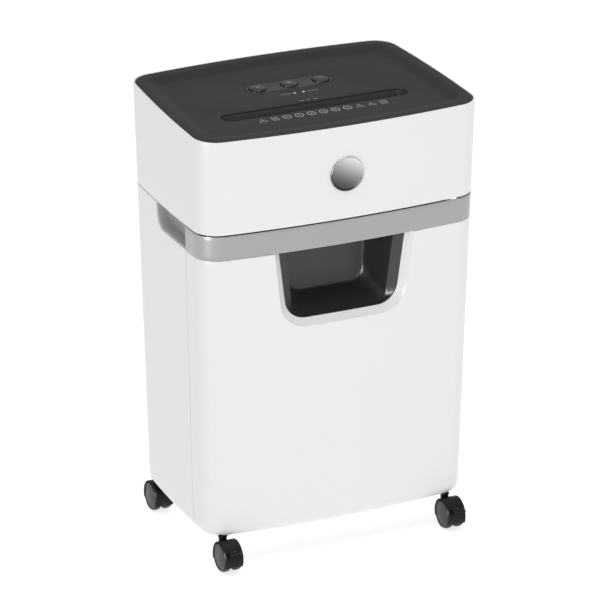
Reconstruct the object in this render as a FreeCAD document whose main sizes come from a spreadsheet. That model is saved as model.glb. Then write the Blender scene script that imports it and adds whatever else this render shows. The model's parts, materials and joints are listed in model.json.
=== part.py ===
import FreeCAD, Part
import math
import os
import re
from fcgear import fcgear, involute

# Office paper shredder with a pull-out bin, on four twin-wheel swivel casters.
# Millimetres. X to the right, the front faces -Y, Z up, Z = 0 is the floor.

doc = FreeCAD.newDocument("paper_shredder")
sheet = doc.addObject("Spreadsheet::Sheet", "Sizes")
Vector = FreeCAD.Vector
Rotation = FreeCAD.Rotation
Placement = FreeCAD.Placement
X_AXIS = Vector(1, 0, 0)
Y_AXIS = Vector(0, 1, 0)
Z_AXIS = Vector(0, 0, 1)
ORIGIN = Vector(0, 0, 0)
ALONG_X = Rotation(Y_AXIS, 90)
ALONG_Z = Rotation()

# ---------------------------------------------------------------- driving dimensions

SIZES = {
    # overall form: the plan is a slightly bowed trapezoid that narrows towards the floor
    "FrontCornerX": 178.5, "FrontCornerY": -113.2, "FrontBow": 10.8,
    "BackCornerX": 167.9, "BackCornerY": 114.9, "BackBow": 9.1, "SideBow": 3.6,
    "SideTaper": 0.0218, "DepthTaper": 0.0231, "CornerRadius": 29.3, "BottomRadius": 12,
    "RimHeight": 537.1, "FormTop": 560, "BaseHeight": 38.2, "TopTilt": 2.57,
    "HeadSeam": 418.2, "BandBottom": 387.9, "SeamGap": 0.8, "SideSeam": -60.6,
    "Wall": 3, "FloorWall": 3.5, "RunGap": 0.5,
    # top panel, dished, let into the head
    "RimEdge": 2, "PanelGap": 0.3, "PanelThick": 7, "DishDepth": 4.5,
    "DishOuter": 13, "DishInner": 28,
    # throat
    "ThroatY": -38, "ThroatLength": 237, "ThroatWidth": 22.5, "ThroatDepth": 15,
    "SlitLength": 221.5, "SlitWidth": 7, "ChuteWall": 1.6, "ChuteDrop": 33,
    # buttons and lamps
    "ButtonY": 31.5, "ButtonPitch": 40.5, "ButtonRadius": 9.6, "RingRadius": 10.75,
    "ButtonHigh": 7, "ButtonProud": 2.4, "ButtonStem": 3, "StemLength": 16,
    "StripLength": 109, "StripWidth": 27, "StripThick": 1.4, "StripProud": 0.4,
    "LampX": 5.7, "LampY": 4.4, "LampRadius": 1.6, "LampProud": 0.5,
    # badge
    "BadgeRadius": 21, "BadgeThick": 3, "BadgeHeight": 474, "BadgeBack": -122.1, "BadgeLean": 1.32,
    # window, scoop and bin
    "WindowTopHalf": 92.4, "WindowLowHalf": 77.5, "WindowBottom": 293, "WindowRadius": 34,
    "ScoopRim": 3, "ScoopWall": 2.5, "ScoopBack": -60, "ScoopTop": 413,
    "BinHalfWidth": 148, "BinFront": -56, "BinBack": 92, "BinBottom": 64, "BinTop": 372,
    "BinWall": 2.5, "ArmX": 100, "ArmThick": 3, "RailX": 125, "RailThick": 8, "RailGap": 0.2,
    "FootHalf": 140, "FootFront": -92, "TrayThick": 3.5, "TrayFront": -102, "TrayWide": 161,
    # hand grips in the sides
    "GripRear": 27.5, "GripBottom": 388.4, "GripRadius": 19, "GripDepth": 16, "GripWall": 2,
    "GripFace": 174,
    # cutting head
    "PlateX": 118, "PlateThick": 3, "PlateFront": -92, "PlateBack": 76, "PlateLow": 421.4,
    "PlateHigh": 494, "NipY": -34.6, "ShaftHeight": 458, "ShaftGap": 42, "ShaftRadius": 8,
    "DiscRadius": 23, "DiscThick": 4.6, "DiscPitch": 10, "DiscCount": 22, "SleeveRadius": 14,
    "NotchDepth": 4, "BushRadius": 11, "BushLength": 5, "RunFit": 0.05,
    "FingerThick": 3, "CombThick": 4, "CombLow": 436, "CombHigh": 480, "CombReach": 29,
    "ChassisLow": 418.9, "ChassisThick": 2.5, "ChassisX": 160, "ChassisY": 98,
    "OutletHalf": 115, "OutletFront": -66, "OutletBack": -4, "TieRadius": 4,
    # gear train on the right
    "SyncTeeth": 21, "SyncModule": 2, "SyncX": 123, "SyncWidth": 9,
    "DriveTeeth": 46, "DriveModule": 1.25, "DriveX": 134, "DriveWidth": 8,
    "PinionTeeth": 14, "LargeTeeth": 38, "MotorModule": 1, "LargeX": 144, "LargeWidth": 7,
    "ToothEase": -0.06, "MeshAngleOne": 20, "MeshAngleTwo": -5,
    "CoverX": 154, "CoverThick": 2, "MotorRadius": 22, "MotorLength": 78, "GearPin": 3,
    "SpindleRadius": 2.5, "SpindleDepth": 15,
    # electrics
    "BoardHalf": 62, "BoardThick": 1.6, "BoardDepth": 26, "SwitchHigh": 7, "PostX": 58,
    "CapacitorRadius": 13, "CapacitorLength": 58, "CapacitorY": 40,
    "InletX": -112, "InletHeight": 446, "InletWide": 30, "InletHigh": 24, "InletDeep": 26,
    "InletFace": 118.4, "InletSeat": 112.3,
    "VentStart": 20, "VentEnd": 110, "VentLow": 440, "VentPitch": 9, "VentHigh": 4,
    # casters
    "CasterX": 145.5, "CasterFrontY": -92.7, "CasterBackY": 76.3, "CasterTrail": 15,
    "WheelRadius": 17.5, "WheelWidth": 8.4, "WheelInner": 3.7, "AxleRadius": 3,
    "WebHalf": 3.3, "WebRadius": 8.5, "HoodInner": 18, "HoodOuter": 19.3, "HoodHalf": 11.2,
    "HoodLow": 10, "NeckRadius": 4.9, "NeckLow": 32.6, "FlareRadius": 5.8, "FlareLow": 36.2, "FlareHigh": 37.8,
    "StemRadius": 4, "StemTop": 58, "SocketRadius": 6.5, "SocketTop": 61, "StemClear": 0.6,
    "BrakeReach": 20.6, "BrakePinZ": 29.5, "BrakePinRadius": 1.2, "BrakeBarrel": 2.4,
    "BrakeHalf": 7, "BrakeTab": 7, "BrakeThick": 2.4,
    "ScrewHead": 3.4, "ScrewShank": 1.6, "ScrewX": 150, "ScrewY": 84,
}

for row, (alias, number) in enumerate(SIZES.items(), start=1):
    sheet.set(f"A{row}", alias)
    sheet.set(f"B{row}", str(number))
    sheet.setAlias(f"B{row}", alias)
doc.recompute()


def bound(text):
    """Turn the alias words of an expression into references to the sheet."""
    return re.sub(r"\b([A-Z][A-Za-z]+)\b", r"Sizes.\1", str(text))


def value(text):
    """The number that an expression gives now."""
    return float(sheet.evalExpression(bound(text)))


def bind(item, **texts):
    for name, text in texts.items():
        item.setExpression(name, bound(text))


def put(item, at, turn=ALONG_Z):
    """Place an object at a point given as three expressions."""
    item.Placement = Placement(Vector(*[value(part) for part in at]), turn)
    for axis, part in zip("xyz", at):
        item.setExpression(f"Placement.Base.{axis}", bound(part))
    return item


# ---------------------------------------------------------------- solid helpers

def block(name, low, high):
    """A box between two corners, each given as three expressions."""
    item = doc.addObject("Part::Box", name)
    sides = [f"({top}) - ({bottom})" for bottom, top in zip(low, high)]
    bind(item, Length=sides[0], Width=sides[1], Height=sides[2])
    return put(item, low)


def rod(name, radius, length, at, turn=ALONG_Z):
    item = doc.addObject("Part::Cylinder", name)
    bind(item, Radius=radius, Height=length)
    return put(item, at, turn)


def cone(name, low_radius, high_radius, length, at, turn=ALONG_Z):
    item = doc.addObject("Part::Cone", name)
    bind(item, Radius1=low_radius, Radius2=high_radius, Height=length)
    return put(item, at, turn)


def cut(name, base, *tools):
    item = doc.addObject("Part::Cut", name)
    item.Base = base
    item.Tool = tools[0] if len(tools) == 1 else fuse(name + "_tools", *tools)
    return item


def fuse(name, *parts):
    item = doc.addObject("Part::MultiFuse", name)
    item.Shapes = list(parts)
    return item


def common(name, *parts):
    item = doc.addObject("Part::MultiCommon", name)
    item.Shapes = list(parts)
    return item


def group(name, *parts):
    """Several equal pieces kept as separate solids in one sub-part."""
    item = doc.addObject("Part::Compound", name)
    item.Links = list(parts)
    return item


def rounded(name, base, radius, pick):
    """Round the edges of base that pick chooses, by a radius from the sheet."""
    doc.recompute()
    item = doc.addObject("Part::Fillet", name)
    item.Base = base
    edges = [number for number, edge in enumerate(base.Shape.Edges, start=1) if pick(edge)]
    item.Edges = [(number, value(radius), value(radius)) for number in edges]
    return item


def plane(body, role):
    return next(item for item in body.Origin.OriginFeatures if item.Role == role)


def attach(sketch, body, role, height="0"):
    sketch.AttachmentSupport = [(plane(body, role), "")]
    sketch.MapMode = "FlatFace"
    sketch.setExpression("AttachmentOffset.Base.z", bound(height))


def polygon(body, name, role, height, corners):
    """A closed sketch whose corners are given as pairs of expressions."""
    sketch = body.newObject("Sketcher::SketchObject", name)
    attach(sketch, body, role, height)
    points = [Vector(value(u), value(v), 0) for u, v in corners]
    count = len(points)
    for index in range(count):
        sketch.addGeometry(Part.LineSegment(points[index], points[(index + 1) % count]), False)
    for index in range(count):
        sketch.addConstraint(sketcher("Coincident", index, 2, (index + 1) % count, 1))
    for index, (u, v) in enumerate(corners):
        hold(sketch, "DistanceX", (-1, 1, index, 1), u)
        hold(sketch, "DistanceY", (-1, 1, index, 1), v)
    return sketch


def sketcher(kind, *numbers):
    import Sketcher
    return Sketcher.Constraint(kind, *numbers)


def prism(name, role, height, length, corners):
    """A body padded from a polygon."""
    body = doc.addObject("PartDesign::Body", name)
    pad = body.newObject("PartDesign::Pad", name + "_pad")
    pad.Profile = polygon(body, name + "_outline", role, height, corners)
    bind(pad, Length=length)
    return body


def turned(name, profile, at, turn=ALONG_Z):
    """A body revolved about its own Z axis from (radius, height) corners."""
    body = doc.addObject("PartDesign::Body", name)
    sketch = polygon(body, name + "_profile", "XZ_Plane", "0", profile)
    spin = body.newObject("PartDesign::Revolution", name + "_spin")
    spin.Profile = sketch
    spin.ReferenceAxis = (sketch, ["V_Axis"])
    spin.Angle = 360
    return put(body, at, turn)


# ---------------------------------------------------------------- the bowed, tapered form

def outline(body, name, height, inset, corner):
    """Plan outline at a height: four shallow arcs joined by four tangent corner arcs."""
    drop = f"(RimHeight - ({height}))"
    front_x = f"(FrontCornerX - SideTaper * {drop} - ({inset}))"
    back_x = f"(BackCornerX - SideTaper * {drop} - ({inset}))"
    front_y = f"(FrontCornerY + DepthTaper * {drop} + ({inset}))"
    back_y = f"(BackCornerY - DepthTaper * {drop} - ({inset}))"
    corners = [(f"-{front_x}", front_y), (front_x, front_y), (back_x, back_y), (f"-{back_x}", back_y)]
    sides = [side_arc(corners[index], corners[(index + 1) % 4], bow)
             for index, bow in enumerate(("FrontBow", "SideBow", "BackBow", "SideBow"))]
    numbers = [[value(text) for text in side] for side in sides]
    small = value(corner)
    points = [Vector(value(u), value(v), 0) for u, v in corners]
    centres = [corner_centre(numbers[index], numbers[(index + 1) % 4], small, points[(index + 1) % 4])
               for index in range(4)]
    sketch = body.newObject("Sketcher::SketchObject", name)
    attach(sketch, body, "XY_Plane", height)
    for index in range(4):
        x, y, radius = numbers[index]
        big_centre = Vector(x, y, 0)
        start = arc_point(big_centre, radius, centres[index - 1])
        end = arc_point(big_centre, radius, centres[index])
        add_arc(sketch, big_centre, radius, start, end)
        next_centre = Vector(numbers[(index + 1) % 4][0], numbers[(index + 1) % 4][1], 0)
        next_start = arc_point(next_centre, numbers[(index + 1) % 4][2], centres[index])
        add_arc(sketch, centres[index], small, end, next_start)
    for index in range(8):
        sketch.addConstraint(sketcher("Tangent", index, 2, (index + 1) % 8, 1))
    for index, (x, y, radius) in enumerate(sides):
        hold(sketch, "DistanceX", (-1, 1, 2 * index, 3), x)
        hold(sketch, "DistanceY", (-1, 1, 2 * index, 3), y)
        hold(sketch, "Radius", (2 * index,), radius)
        hold(sketch, "Radius", (2 * index + 1,), corner)
    return sketch


def hold(sketch, kind, places, text):
    """Add a dimension to a sketch and bind it to an expression."""
    number = sketch.addConstraint(sketcher(kind, *places, value(text)))
    sketch.setExpression(f"Constraints[{number}]", bound(text))


def side_arc(start, end, bow):
    """Centre and radius, as expressions, of the arc that bows outwards between two corners."""
    across = f"({end[0]} - ({start[0]}))"
    along = f"({end[1]} - ({start[1]}))"
    chord = f"sqrt({across} ^ 2 + {along} ^ 2)"
    radius = f"({chord} ^ 2 / (8 * {bow}) + {bow} / 2)"
    x = f"(({start[0]} + {end[0]}) / 2 - {along} / {chord} * ({radius} - {bow}))"
    y = f"(({start[1]} + {end[1]}) / 2 + {across} / {chord} * ({radius} - {bow}))"
    return x, y, radius


def corner_centre(one, two, small, corner):
    """Centre of the small arc that is tangent inside both side arcs, at their shared corner."""
    first = Vector(one[0], one[1], 0)
    second = Vector(two[0], two[1], 0)
    near = one[2] - small
    far = two[2] - small
    between = second - first
    gap = between.Length
    along = (gap ** 2 + near ** 2 - far ** 2) / (2 * gap)
    across = math.sqrt(near ** 2 - along ** 2)
    direction = between.normalize()
    foot = first + direction * along
    sideways = Vector(-direction.y, direction.x, 0) * across
    return min((foot + sideways, foot - sideways), key=lambda point: (point - corner).Length)


def arc_point(centre, radius, through):
    return centre + (through - centre).normalize() * radius


def add_arc(sketch, centre, radius, start, end):
    circle = Part.Circle(centre, Z_AXIS, radius)
    arc = Part.ArcOfCircle(circle, math.atan2(start.y - centre.y, start.x - centre.x),
                           math.atan2(end.y - centre.y, end.x - centre.x))
    sketch.addGeometry(arc, False)


ROUND_STEPS = (0, 30, 60)


def form(name, low, low_inset, high, high_inset, corner, bottom=None):
    """The machine's form between two heights; its bottom edge is rounded in three bands."""
    body = doc.addObject("PartDesign::Body", name)
    levels = []
    if bottom:
        for angle in ROUND_STEPS:
            rise = f"({bottom}) * (1 - cos({angle}))"
            shrink = f"({bottom}) * (1 - sin({angle}))"
            levels.append((f"{low} + {rise}", f"{low_inset} + {shrink}", f"{corner} - {shrink}"))
        levels.append((f"{low} + {bottom}", low_inset, corner))
    else:
        levels.append((low, low_inset, corner))
    levels.append((high, high_inset, corner))
    sketches = [outline(body, f"{name}_level_{index}", *level) for index, level in enumerate(levels)]
    loft = body.newObject("PartDesign::AdditiveLoft", name + "_loft")
    loft.Profile = sketches[0]
    loft.Sections = sketches[1:]
    loft.Ruled = True
    doc.recompute()
    return body


BIG = "400"
skin = form("skin", "BaseHeight", "0", "FormTop", "0", "CornerRadius", "BottomRadius")
cavity = form("cavity", "BaseHeight + FloorWall", "Wall", "FormTop", "Wall",
              "CornerRadius - Wall", "BottomRadius - FloorWall")
inner_fit = form("inner_fit", "BaseHeight + FloorWall", "Wall + RunGap", "FormTop",
                 "Wall + RunGap", "CornerRadius - Wall", "BottomRadius - FloorWall")
panel_form = form("panel_form", "RimHeight - PanelThick", "RimEdge + PanelGap", "FormTop",
                  "RimEdge + PanelGap", "CornerRadius - RimEdge")
panel_seat = form("panel_seat", "RimHeight - PanelThick - PanelGap", "RimEdge", "FormTop",
                  "RimEdge", "CornerRadius - RimEdge")
dish = form("dish", "RimHeight - DishDepth", "DishInner", "RimHeight", "DishOuter",
            "CornerRadius / 2")

# The top leans forward: everything on it is drawn level at the rim height, then leaned.
lean_turn = Rotation(X_AXIS, value("TopTilt"))
lean_pivot = Vector(0, 0, value("RimHeight"))
LEAN = Placement(lean_pivot - lean_turn.multVec(lean_pivot), lean_turn)


def leaned(item):
    item.Placement = LEAN
    return item


# ---------------------------------------------------------------- head

def make_head_shell():
    above = block("above_rim", (f"-{BIG}", f"-{BIG}", "RimHeight"), (BIG, BIG, "RimHeight + 60"))
    sky = leaned(group("leaned_sky", above))
    seat = leaned(group("leaned_seat", panel_seat))
    below = block("below_seam", (f"-{BIG}", f"-{BIG}", "0"), (BIG, BIG, "HeadSeam + SeamGap / 2"))
    inlet = block("inlet_hole", ("InletX - InletWide / 2", "60", "InletHeight - InletHigh / 2"),
                  ("InletX + InletWide / 2", "160", "InletHeight + InletHigh / 2"))
    vents = [block(f"vent_{row}", ("VentStart", "60", f"VentLow + {row} * VentPitch"),
                   ("VentEnd", "160", f"VentLow + VentHigh + {row} * VentPitch"))
             for row in range(6)]
    wall = cut("head_wall", skin, cavity, below, inlet, *vents)
    return cut("head_shell", cut("head_rim", wall, sky), seat)


def stadium(name, length, width, low, high, flare="0"):
    """A slot-shaped solid about the throat line; it widens by flare at its top."""
    tall = f"({high}) - ({low})"
    reach = f"(({length}) - ({width})) / 2"
    half = f"({width}) / 2"
    middle = prism(name + "_middle", "YZ_Plane", f"-({reach})", f"2 * ({reach})",
                   [(f"ThroatY - {half}", low), (f"ThroatY + {half}", low),
                    (f"ThroatY + {half} + {flare}", high), (f"ThroatY - {half} - {flare}", high)])
    ends = [cone(f"{name}_end_{side}", half, f"{half} + {flare}", tall,
                 (f"{sign}({reach})", "ThroatY", low))
            for side, sign in (("left", "-"), ("right", ""))]
    return fuse(name, middle, *ends)


def make_top_panel():
    slab_top = block("panel_sky", (f"-{BIG}", f"-{BIG}", "RimHeight"), (BIG, BIG, "RimHeight + 60"))
    floor = "RimHeight - DishDepth"
    throat = stadium("throat_hole", "ThroatLength", "ThroatWidth", "RimHeight - PanelThick - 2",
                     "RimHeight + 5")
    strip = stadium_at("strip_seat", "StripLength", "StripWidth", f"{floor} - StripThick",
                       "RimHeight + 5", "ButtonY")
    wells = [rod(f"button_well_{side}", "ButtonRadius + RunGap", "30",
                 (f"{side} * ButtonPitch", "ButtonY", "RimHeight - 20")) for side in (-1, 0, 1)]
    lamps = [rod(f"lamp_hole_{side}", "LampRadius", "20", (f"{side} * LampX", "LampY", "RimHeight - 15"))
             for side in (-1, 1)]
    return leaned(cut("top_panel", panel_form, slab_top, dish, throat, strip, *wells, *lamps))


def stadium_at(name, length, width, low, high, centre_y):
    """A straight slot-shaped solid centred on X = 0 at the given Y."""
    reach = f"(({length}) - ({width})) / 2"
    half = f"({width}) / 2"
    middle = block(name + "_middle", (f"-({reach})", f"{centre_y} - {half}", low),
                   (reach, f"{centre_y} + {half}", high))
    ends = [rod(f"{name}_end_{side}", half, f"({high}) - ({low})", (f"{sign}({reach})", centre_y, low))
            for side, sign in (("left", "-"), ("right", ""))]
    return fuse(name, middle, *ends)


def make_control_strip():
    low = "RimHeight - DishDepth - StripThick"
    plate = stadium_at("strip_plate", "StripLength - 0.2", "StripWidth - 0.2", low,
                       "RimHeight - DishDepth + StripProud", "ButtonY")
    wells = [rod(f"ring_hole_{side}", "RingRadius", "30",
                 (f"{side} * ButtonPitch", "ButtonY", "RimHeight - 20")) for side in (-1, 0, 1)]
    return leaned(cut("control_strip", plate, *wells))


def make_lamps():
    lamps = [rod(f"lamp_{side}", "LampRadius - 0.05", "PanelThick - DishDepth + LampProud",
                 (f"{side} * LampX", "LampY", "RimHeight - PanelThick")) for side in (-1, 1)]
    return leaned(group("indicator_lenses", *lamps))


def make_button(name, column):
    """A domed cap on a stem that reaches down to its switch."""
    rise = "ButtonHigh - ButtonProud / 2"
    cap = turned(name + "_form",
                 [("0", "-StemLength"), ("ButtonStem", "-StemLength"), ("ButtonStem", "0"),
                  ("ButtonRadius", "0"), ("ButtonRadius", rise),
                  ("ButtonRadius * 0.86", "ButtonHigh - ButtonProud / 8"), ("0", "ButtonHigh")],
                 (f"{column} * ButtonPitch", "ButtonY",
                  "RimHeight - DishDepth + StripProud + ButtonProud - ButtonHigh"))
    return leaned(group(name, cap))


def make_throat_chute():
    """The funnel under the throat, with two guide walls down to the cutters."""
    top = "RimHeight - PanelThick"
    low = "RimHeight - ThroatDepth"
    flare = "(ThroatWidth - SlitWidth) / 2"
    outer = stadium("funnel_outer", "SlitLength + 2 * ChuteWall", "SlitWidth + 2 * ChuteWall",
                    low, top, f"({flare})")
    inner = stadium("funnel_inner", "SlitLength", "SlitWidth", f"{low} - 0.01", f"{top} + 0.01",
                    f"({flare})")
    guides = [block(f"guide_{side}", ("-SlitLength / 2 + 4", f"ThroatY {near}", f"{low} - ChuteDrop"),
                    ("SlitLength / 2 - 4", f"ThroatY {far}", f"{low} + 1"))
              for side, near, far in (("front", "- SlitWidth / 2 - ChuteWall", "- SlitWidth / 2"),
                                      ("rear", "+ SlitWidth / 2", "+ SlitWidth / 2 + ChuteWall"))]
    return leaned(cut("throat_chute", fuse("chute_solid", outer, *guides), inner))


def make_badge():
    """A disc with a raised rim, its back cut to the bowed face that it sits on."""
    disc = turned("badge_disc",
                  [("0", "0"), ("BadgeRadius", "0"), ("BadgeRadius", "BadgeThick - 1"),
                   ("BadgeRadius - 1.4", "BadgeThick"), ("BadgeRadius - 3", "BadgeThick"),
                   ("BadgeRadius - 3.8", "BadgeThick - 1"), ("0", "BadgeThick - 0.8")],
                  ("0", "BadgeBack", "BadgeHeight"), Rotation(X_AXIS, 90 + value("BadgeLean")))
    return cut("badge", disc, skin)


def make_inlet():
    """Socket for a mains lead in the rear wall, held from the inside."""
    box = block("inlet_box",
                ("InletX - InletWide / 2 + 0.3", "InletFace - InletDeep",
                 "InletHeight - InletHigh / 2 + 0.3"),
                ("InletX + InletWide / 2 - 0.3", "InletFace", "InletHeight + InletHigh / 2 - 0.3"))
    flange = block("inlet_flange",
                   ("InletX - InletWide / 2 - 4", "InletSeat - 2", "InletHeight - InletHigh / 2 - 4"),
                   ("InletX + InletWide / 2 + 4", "InletSeat", "InletHeight + InletHigh / 2 + 4"))
    mouth = block("inlet_mouth", ("InletX - 11", "InletFace - 18", "InletHeight - 7"),
                  ("InletX + 11", "InletFace + 1", "InletHeight + 7"))
    pins = [block(f"inlet_pin_{side}", (f"InletX + {side} * 7 - 1", "InletFace - 19", "InletHeight - 2"),
                  (f"InletX + {side} * 7 + 1", "InletFace - 5", "InletHeight + 2")) for side in (-1, 0, 1)]
    return fuse("power_inlet", cut("inlet_cup", fuse("inlet_solid", box, flange), mouth), *pins)


# ---------------------------------------------------------------- cabinet, tray, drawer

def make_cabinet():
    """Sides, back and floor of the lower body, open to the front and the top."""
    ahead = block("ahead_of_seam", (f"-{BIG}", f"-{BIG}", "0"),
                  (BIG, "SideSeam + SeamGap / 2", BIG + " * 2"))
    over = block("over_seam", (f"-{BIG}", f"-{BIG}", "HeadSeam - SeamGap / 2"),
                 (BIG, BIG, BIG + " * 2"))
    openings = [grip_block(f"grip_hole_{side}", sign, "60", "0.3") for side, sign in SIDES]
    stems = [rod(f"floor_hole_{side}", "FlareRadius + StemClear", "BottomRadius",
                 (f"{sign}CasterX", "CasterBackY", "BaseHeight - 5")) for side, sign in SIDES]
    trimmed = cut("cabinet_trimmed", cut("cabinet_wall", skin, cavity), ahead, over)
    return cut("cabinet_body", cut("cabinet_gripped", trimmed, *openings), *stems)


SIDES = (("left", "-"), ("right", ""))


def grip_block(name, sign, depth, ease):
    """A block through one side wall, with its lower rear corner rounded."""
    near = f"GripFace - ({depth})"
    far = "GripFace + 20"
    low, high = (near, far) if sign == "" else (f"-({far})", f"-({near})")
    bar = block(name + "_bar", (low, "SideSeam", f"GripBottom - {ease}"),
                (high, f"GripRear + {ease}", "HeadSeam - SeamGap / 2"))
    return rounded(name, bar, "GripRadius", lower_rear("GripRear", "GripBottom"))


def lower_rear(rear, bottom):
    """A test that picks the edge along X at a given depth and height."""
    y = value(rear)
    z = value(bottom)
    return lambda edge: abs(edge.CenterOfMass.y - y) < 1 and abs(edge.CenterOfMass.z - z) < 1


def make_grip(side, sign):
    """A cup let into the side wall for the fingers that lift the machine."""
    body = grip_block(f"grip_body_{side}", sign, "GripDepth + GripWall", "0")
    pocket_low = "GripFace - GripDepth"
    pocket_high = "GripFace + 30"
    low, high = (pocket_low, pocket_high) if sign == "" else (f"-({pocket_high})", f"-({pocket_low})")
    bar = block(f"grip_pocket_bar_{side}", (low, "SideSeam + GripWall", "GripBottom + GripWall"),
                (high, "GripRear - GripWall", "HeadSeam - SeamGap / 2 - GripWall"))
    pocket = rounded(f"grip_pocket_{side}", bar, "GripRadius - GripWall",
                     lower_rear("GripRear - GripWall", "GripBottom + GripWall"))
    front = block(f"grip_front_{side}", (f"-{BIG}", f"-{BIG}", "0"),
                  (BIG, "SideSeam + SeamGap / 2 + 0.2", "FormTop"))
    return common(f"grip_{side}", cut(f"grip_cup_{side}", body, pocket, front), skin)


def make_base_tray():
    """Floor plate, clear of the drawer's lip, and the four caster sockets that stand on it."""
    low = "BaseHeight + FloorWall + RunGap"
    top = f"{low} + TrayThick"
    rear = block("tray_rear", (f"-{BIG}", "SideSeam + 2", low), (BIG, BIG, top))
    nose = block("tray_nose", ("-TrayWide", "TrayFront", low), ("TrayWide", "SideSeam + 3", top))
    plate = common("tray_plate", inner_fit, fuse("tray_slab", rear, nose))
    holes = []
    sockets = []
    for side, sign in SIDES:
        for end, along in (("front", "CasterFrontY"), ("back", "CasterBackY")):
            name = f"{end}_{side}"
            place = (f"{sign}CasterX", along)
            holes.append(rod(f"tray_hole_{name}", "StemRadius + RunFit", "20", (*place, "BaseHeight - 5")))
            post = rod(f"socket_post_{name}", "SocketRadius", f"SocketTop - ({top})", (*place, top))
            bore = rod(f"stem_bore_{name}", "StemRadius + RunFit", "StemTop + 0.5 - 30", (*place, "30"))
            sockets.append(cut(f"socket_{name}", post, bore))
    group("caster_sockets", *sockets)
    return cut("base_tray", plate, *holes)


def window_form(name, inset, front, back, top):
    """The U-shaped outline of the window, narrower towards its rounded foot."""
    high_half = f"WindowTopHalf - ({inset})"
    low_half = f"WindowLowHalf - ({inset})"
    foot = f"WindowBottom + ({inset})"
    body = prism(name + "_prism", "XZ_Plane", f"-({back})", f"({back}) - ({front})",
                 [(f"-({high_half})", top), (f"-({low_half})", foot), (low_half, foot), (high_half, top)])
    level = value(foot)
    return rounded(name, body, f"WindowRadius - ({inset})",
                   lambda edge: abs(edge.CenterOfMass.z - level) < 0.1 and abs(edge.CenterOfMass.x) > 10)


def make_drawer_front():
    """The tall front wall of the pull-out bin, open at its foot round the front casters."""
    behind = block("behind_seam", (f"-{BIG}", "SideSeam - SeamGap / 2", "0"), (BIG, BIG, BIG + " * 2"))
    over = block("over_band", (f"-{BIG}", f"-{BIG}", "BandBottom"), (BIG, BIG, BIG + " * 2"))
    window = window_form("window_hole", "0", "-180", "-90", "BandBottom + 30")
    foot = block("foot_opening", ("-FootHalf", "FootFront", "0"), ("FootHalf", "0", "BaseHeight + 8"))
    notches = [block(f"stem_notch_{side}",
                     (f"{sign}CasterX - FlareRadius - StemClear", "CasterFrontY - FlareRadius - StemClear",
                      "0"),
                     (f"{sign}CasterX + FlareRadius + StemClear", "0", "BaseHeight + 8"))
               for side, sign in SIDES]
    trimmed = cut("drawer_trimmed", cut("drawer_wall", skin, cavity), behind, over)
    return cut("drawer_front", cut("drawer_windowed", trimmed, window), foot, *notches)


def make_band():
    """Bright band round the top of the drawer, which the fingers hook behind."""
    slab = block("band_slab", (f"-{BIG}", f"-{BIG}", "BandBottom"),
                 (BIG, "SideSeam - SeamGap / 2", "HeadSeam - SeamGap"))
    return cut("silver_band", common("band_solid", skin, slab), cavity)


def make_scoop():
    """Closed pocket behind the window that the hand reaches into."""
    outer = window_form("scoop_outer", "-ScoopRim", "-180", "ScoopBack", "ScoopTop")
    hollow = window_form("scoop_hollow", "0.5", "-200", "ScoopBack - ScoopWall", "ScoopTop - ScoopWall")
    return common("window_scoop", cut("scoop_cup", outer, hollow), inner_fit)


def make_bin():
    """Open bin that catches the shreds, with two arms that carry the drawer's front."""
    outer = block("bin_outer", ("-BinHalfWidth", "BinFront", "BinBottom"),
                  ("BinHalfWidth", "BinBack", "BinTop"))
    inner = block("bin_inner", ("-BinHalfWidth + BinWall", "BinFront + BinWall", "BinBottom + BinWall"),
                  ("BinHalfWidth - BinWall", "BinBack - BinWall", "BinTop + 10"))
    arms = [block(f"bin_arm_{side}", (f"{sign}ArmX - ArmThick / 2", "-113", "90"),
                  (f"{sign}ArmX + ArmThick / 2", "BinFront + 1", "270")) for side, sign in SIDES]
    joined = common("bin_arms", fuse("bin_arm_pair", *arms), inner_fit)
    return cut("bin_tub", fuse("bin_solid", outer, joined), inner)


def make_rails():
    """Guide rails on the tray, which the bin runs on."""
    rails = [block(f"rail_{side}",
                   (f"{sign}RailX - RailThick / 2", "BinFront + 4",
                    "BaseHeight + FloorWall + RunGap + TrayThick"),
                   (f"{sign}RailX + RailThick / 2", "BinBack - 4", "BinBottom - RailGap"))
             for side, sign in SIDES]
    return group("drawer_rails", *rails)


# ---------------------------------------------------------------- cutting mechanism

REAR_Y = "NipY + ShaftGap / 2"
FRONT_Y = "NipY - ShaftGap / 2"


def make_shaft(name, centre_y, high_x):
    return rod(name, "ShaftRadius", f"PlateX + PlateThick + 4 + {high_x}",
               ("-PlateX - PlateThick - 4", centre_y, "ShaftHeight"), ALONG_X)


def disc_solid(radius, thick, notch_depth, notches):
    """One disc about the X axis with hooked notches in its edge."""
    disc = Part.makeCylinder(radius, thick, ORIGIN, X_AXIS)
    for index in range(notches):
        points = [Vector(0, -5, radius + 1), Vector(0, 0, radius - notch_depth), Vector(0, 0.6, radius + 1)]
        wedge = Part.Face(Part.makePolygon(points + points[:1])).extrude(Vector(thick, 0, 0))
        wedge.rotate(ORIGIN, X_AXIS, 360 * index / notches)
        disc = disc.cut(wedge)
    return disc


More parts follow.
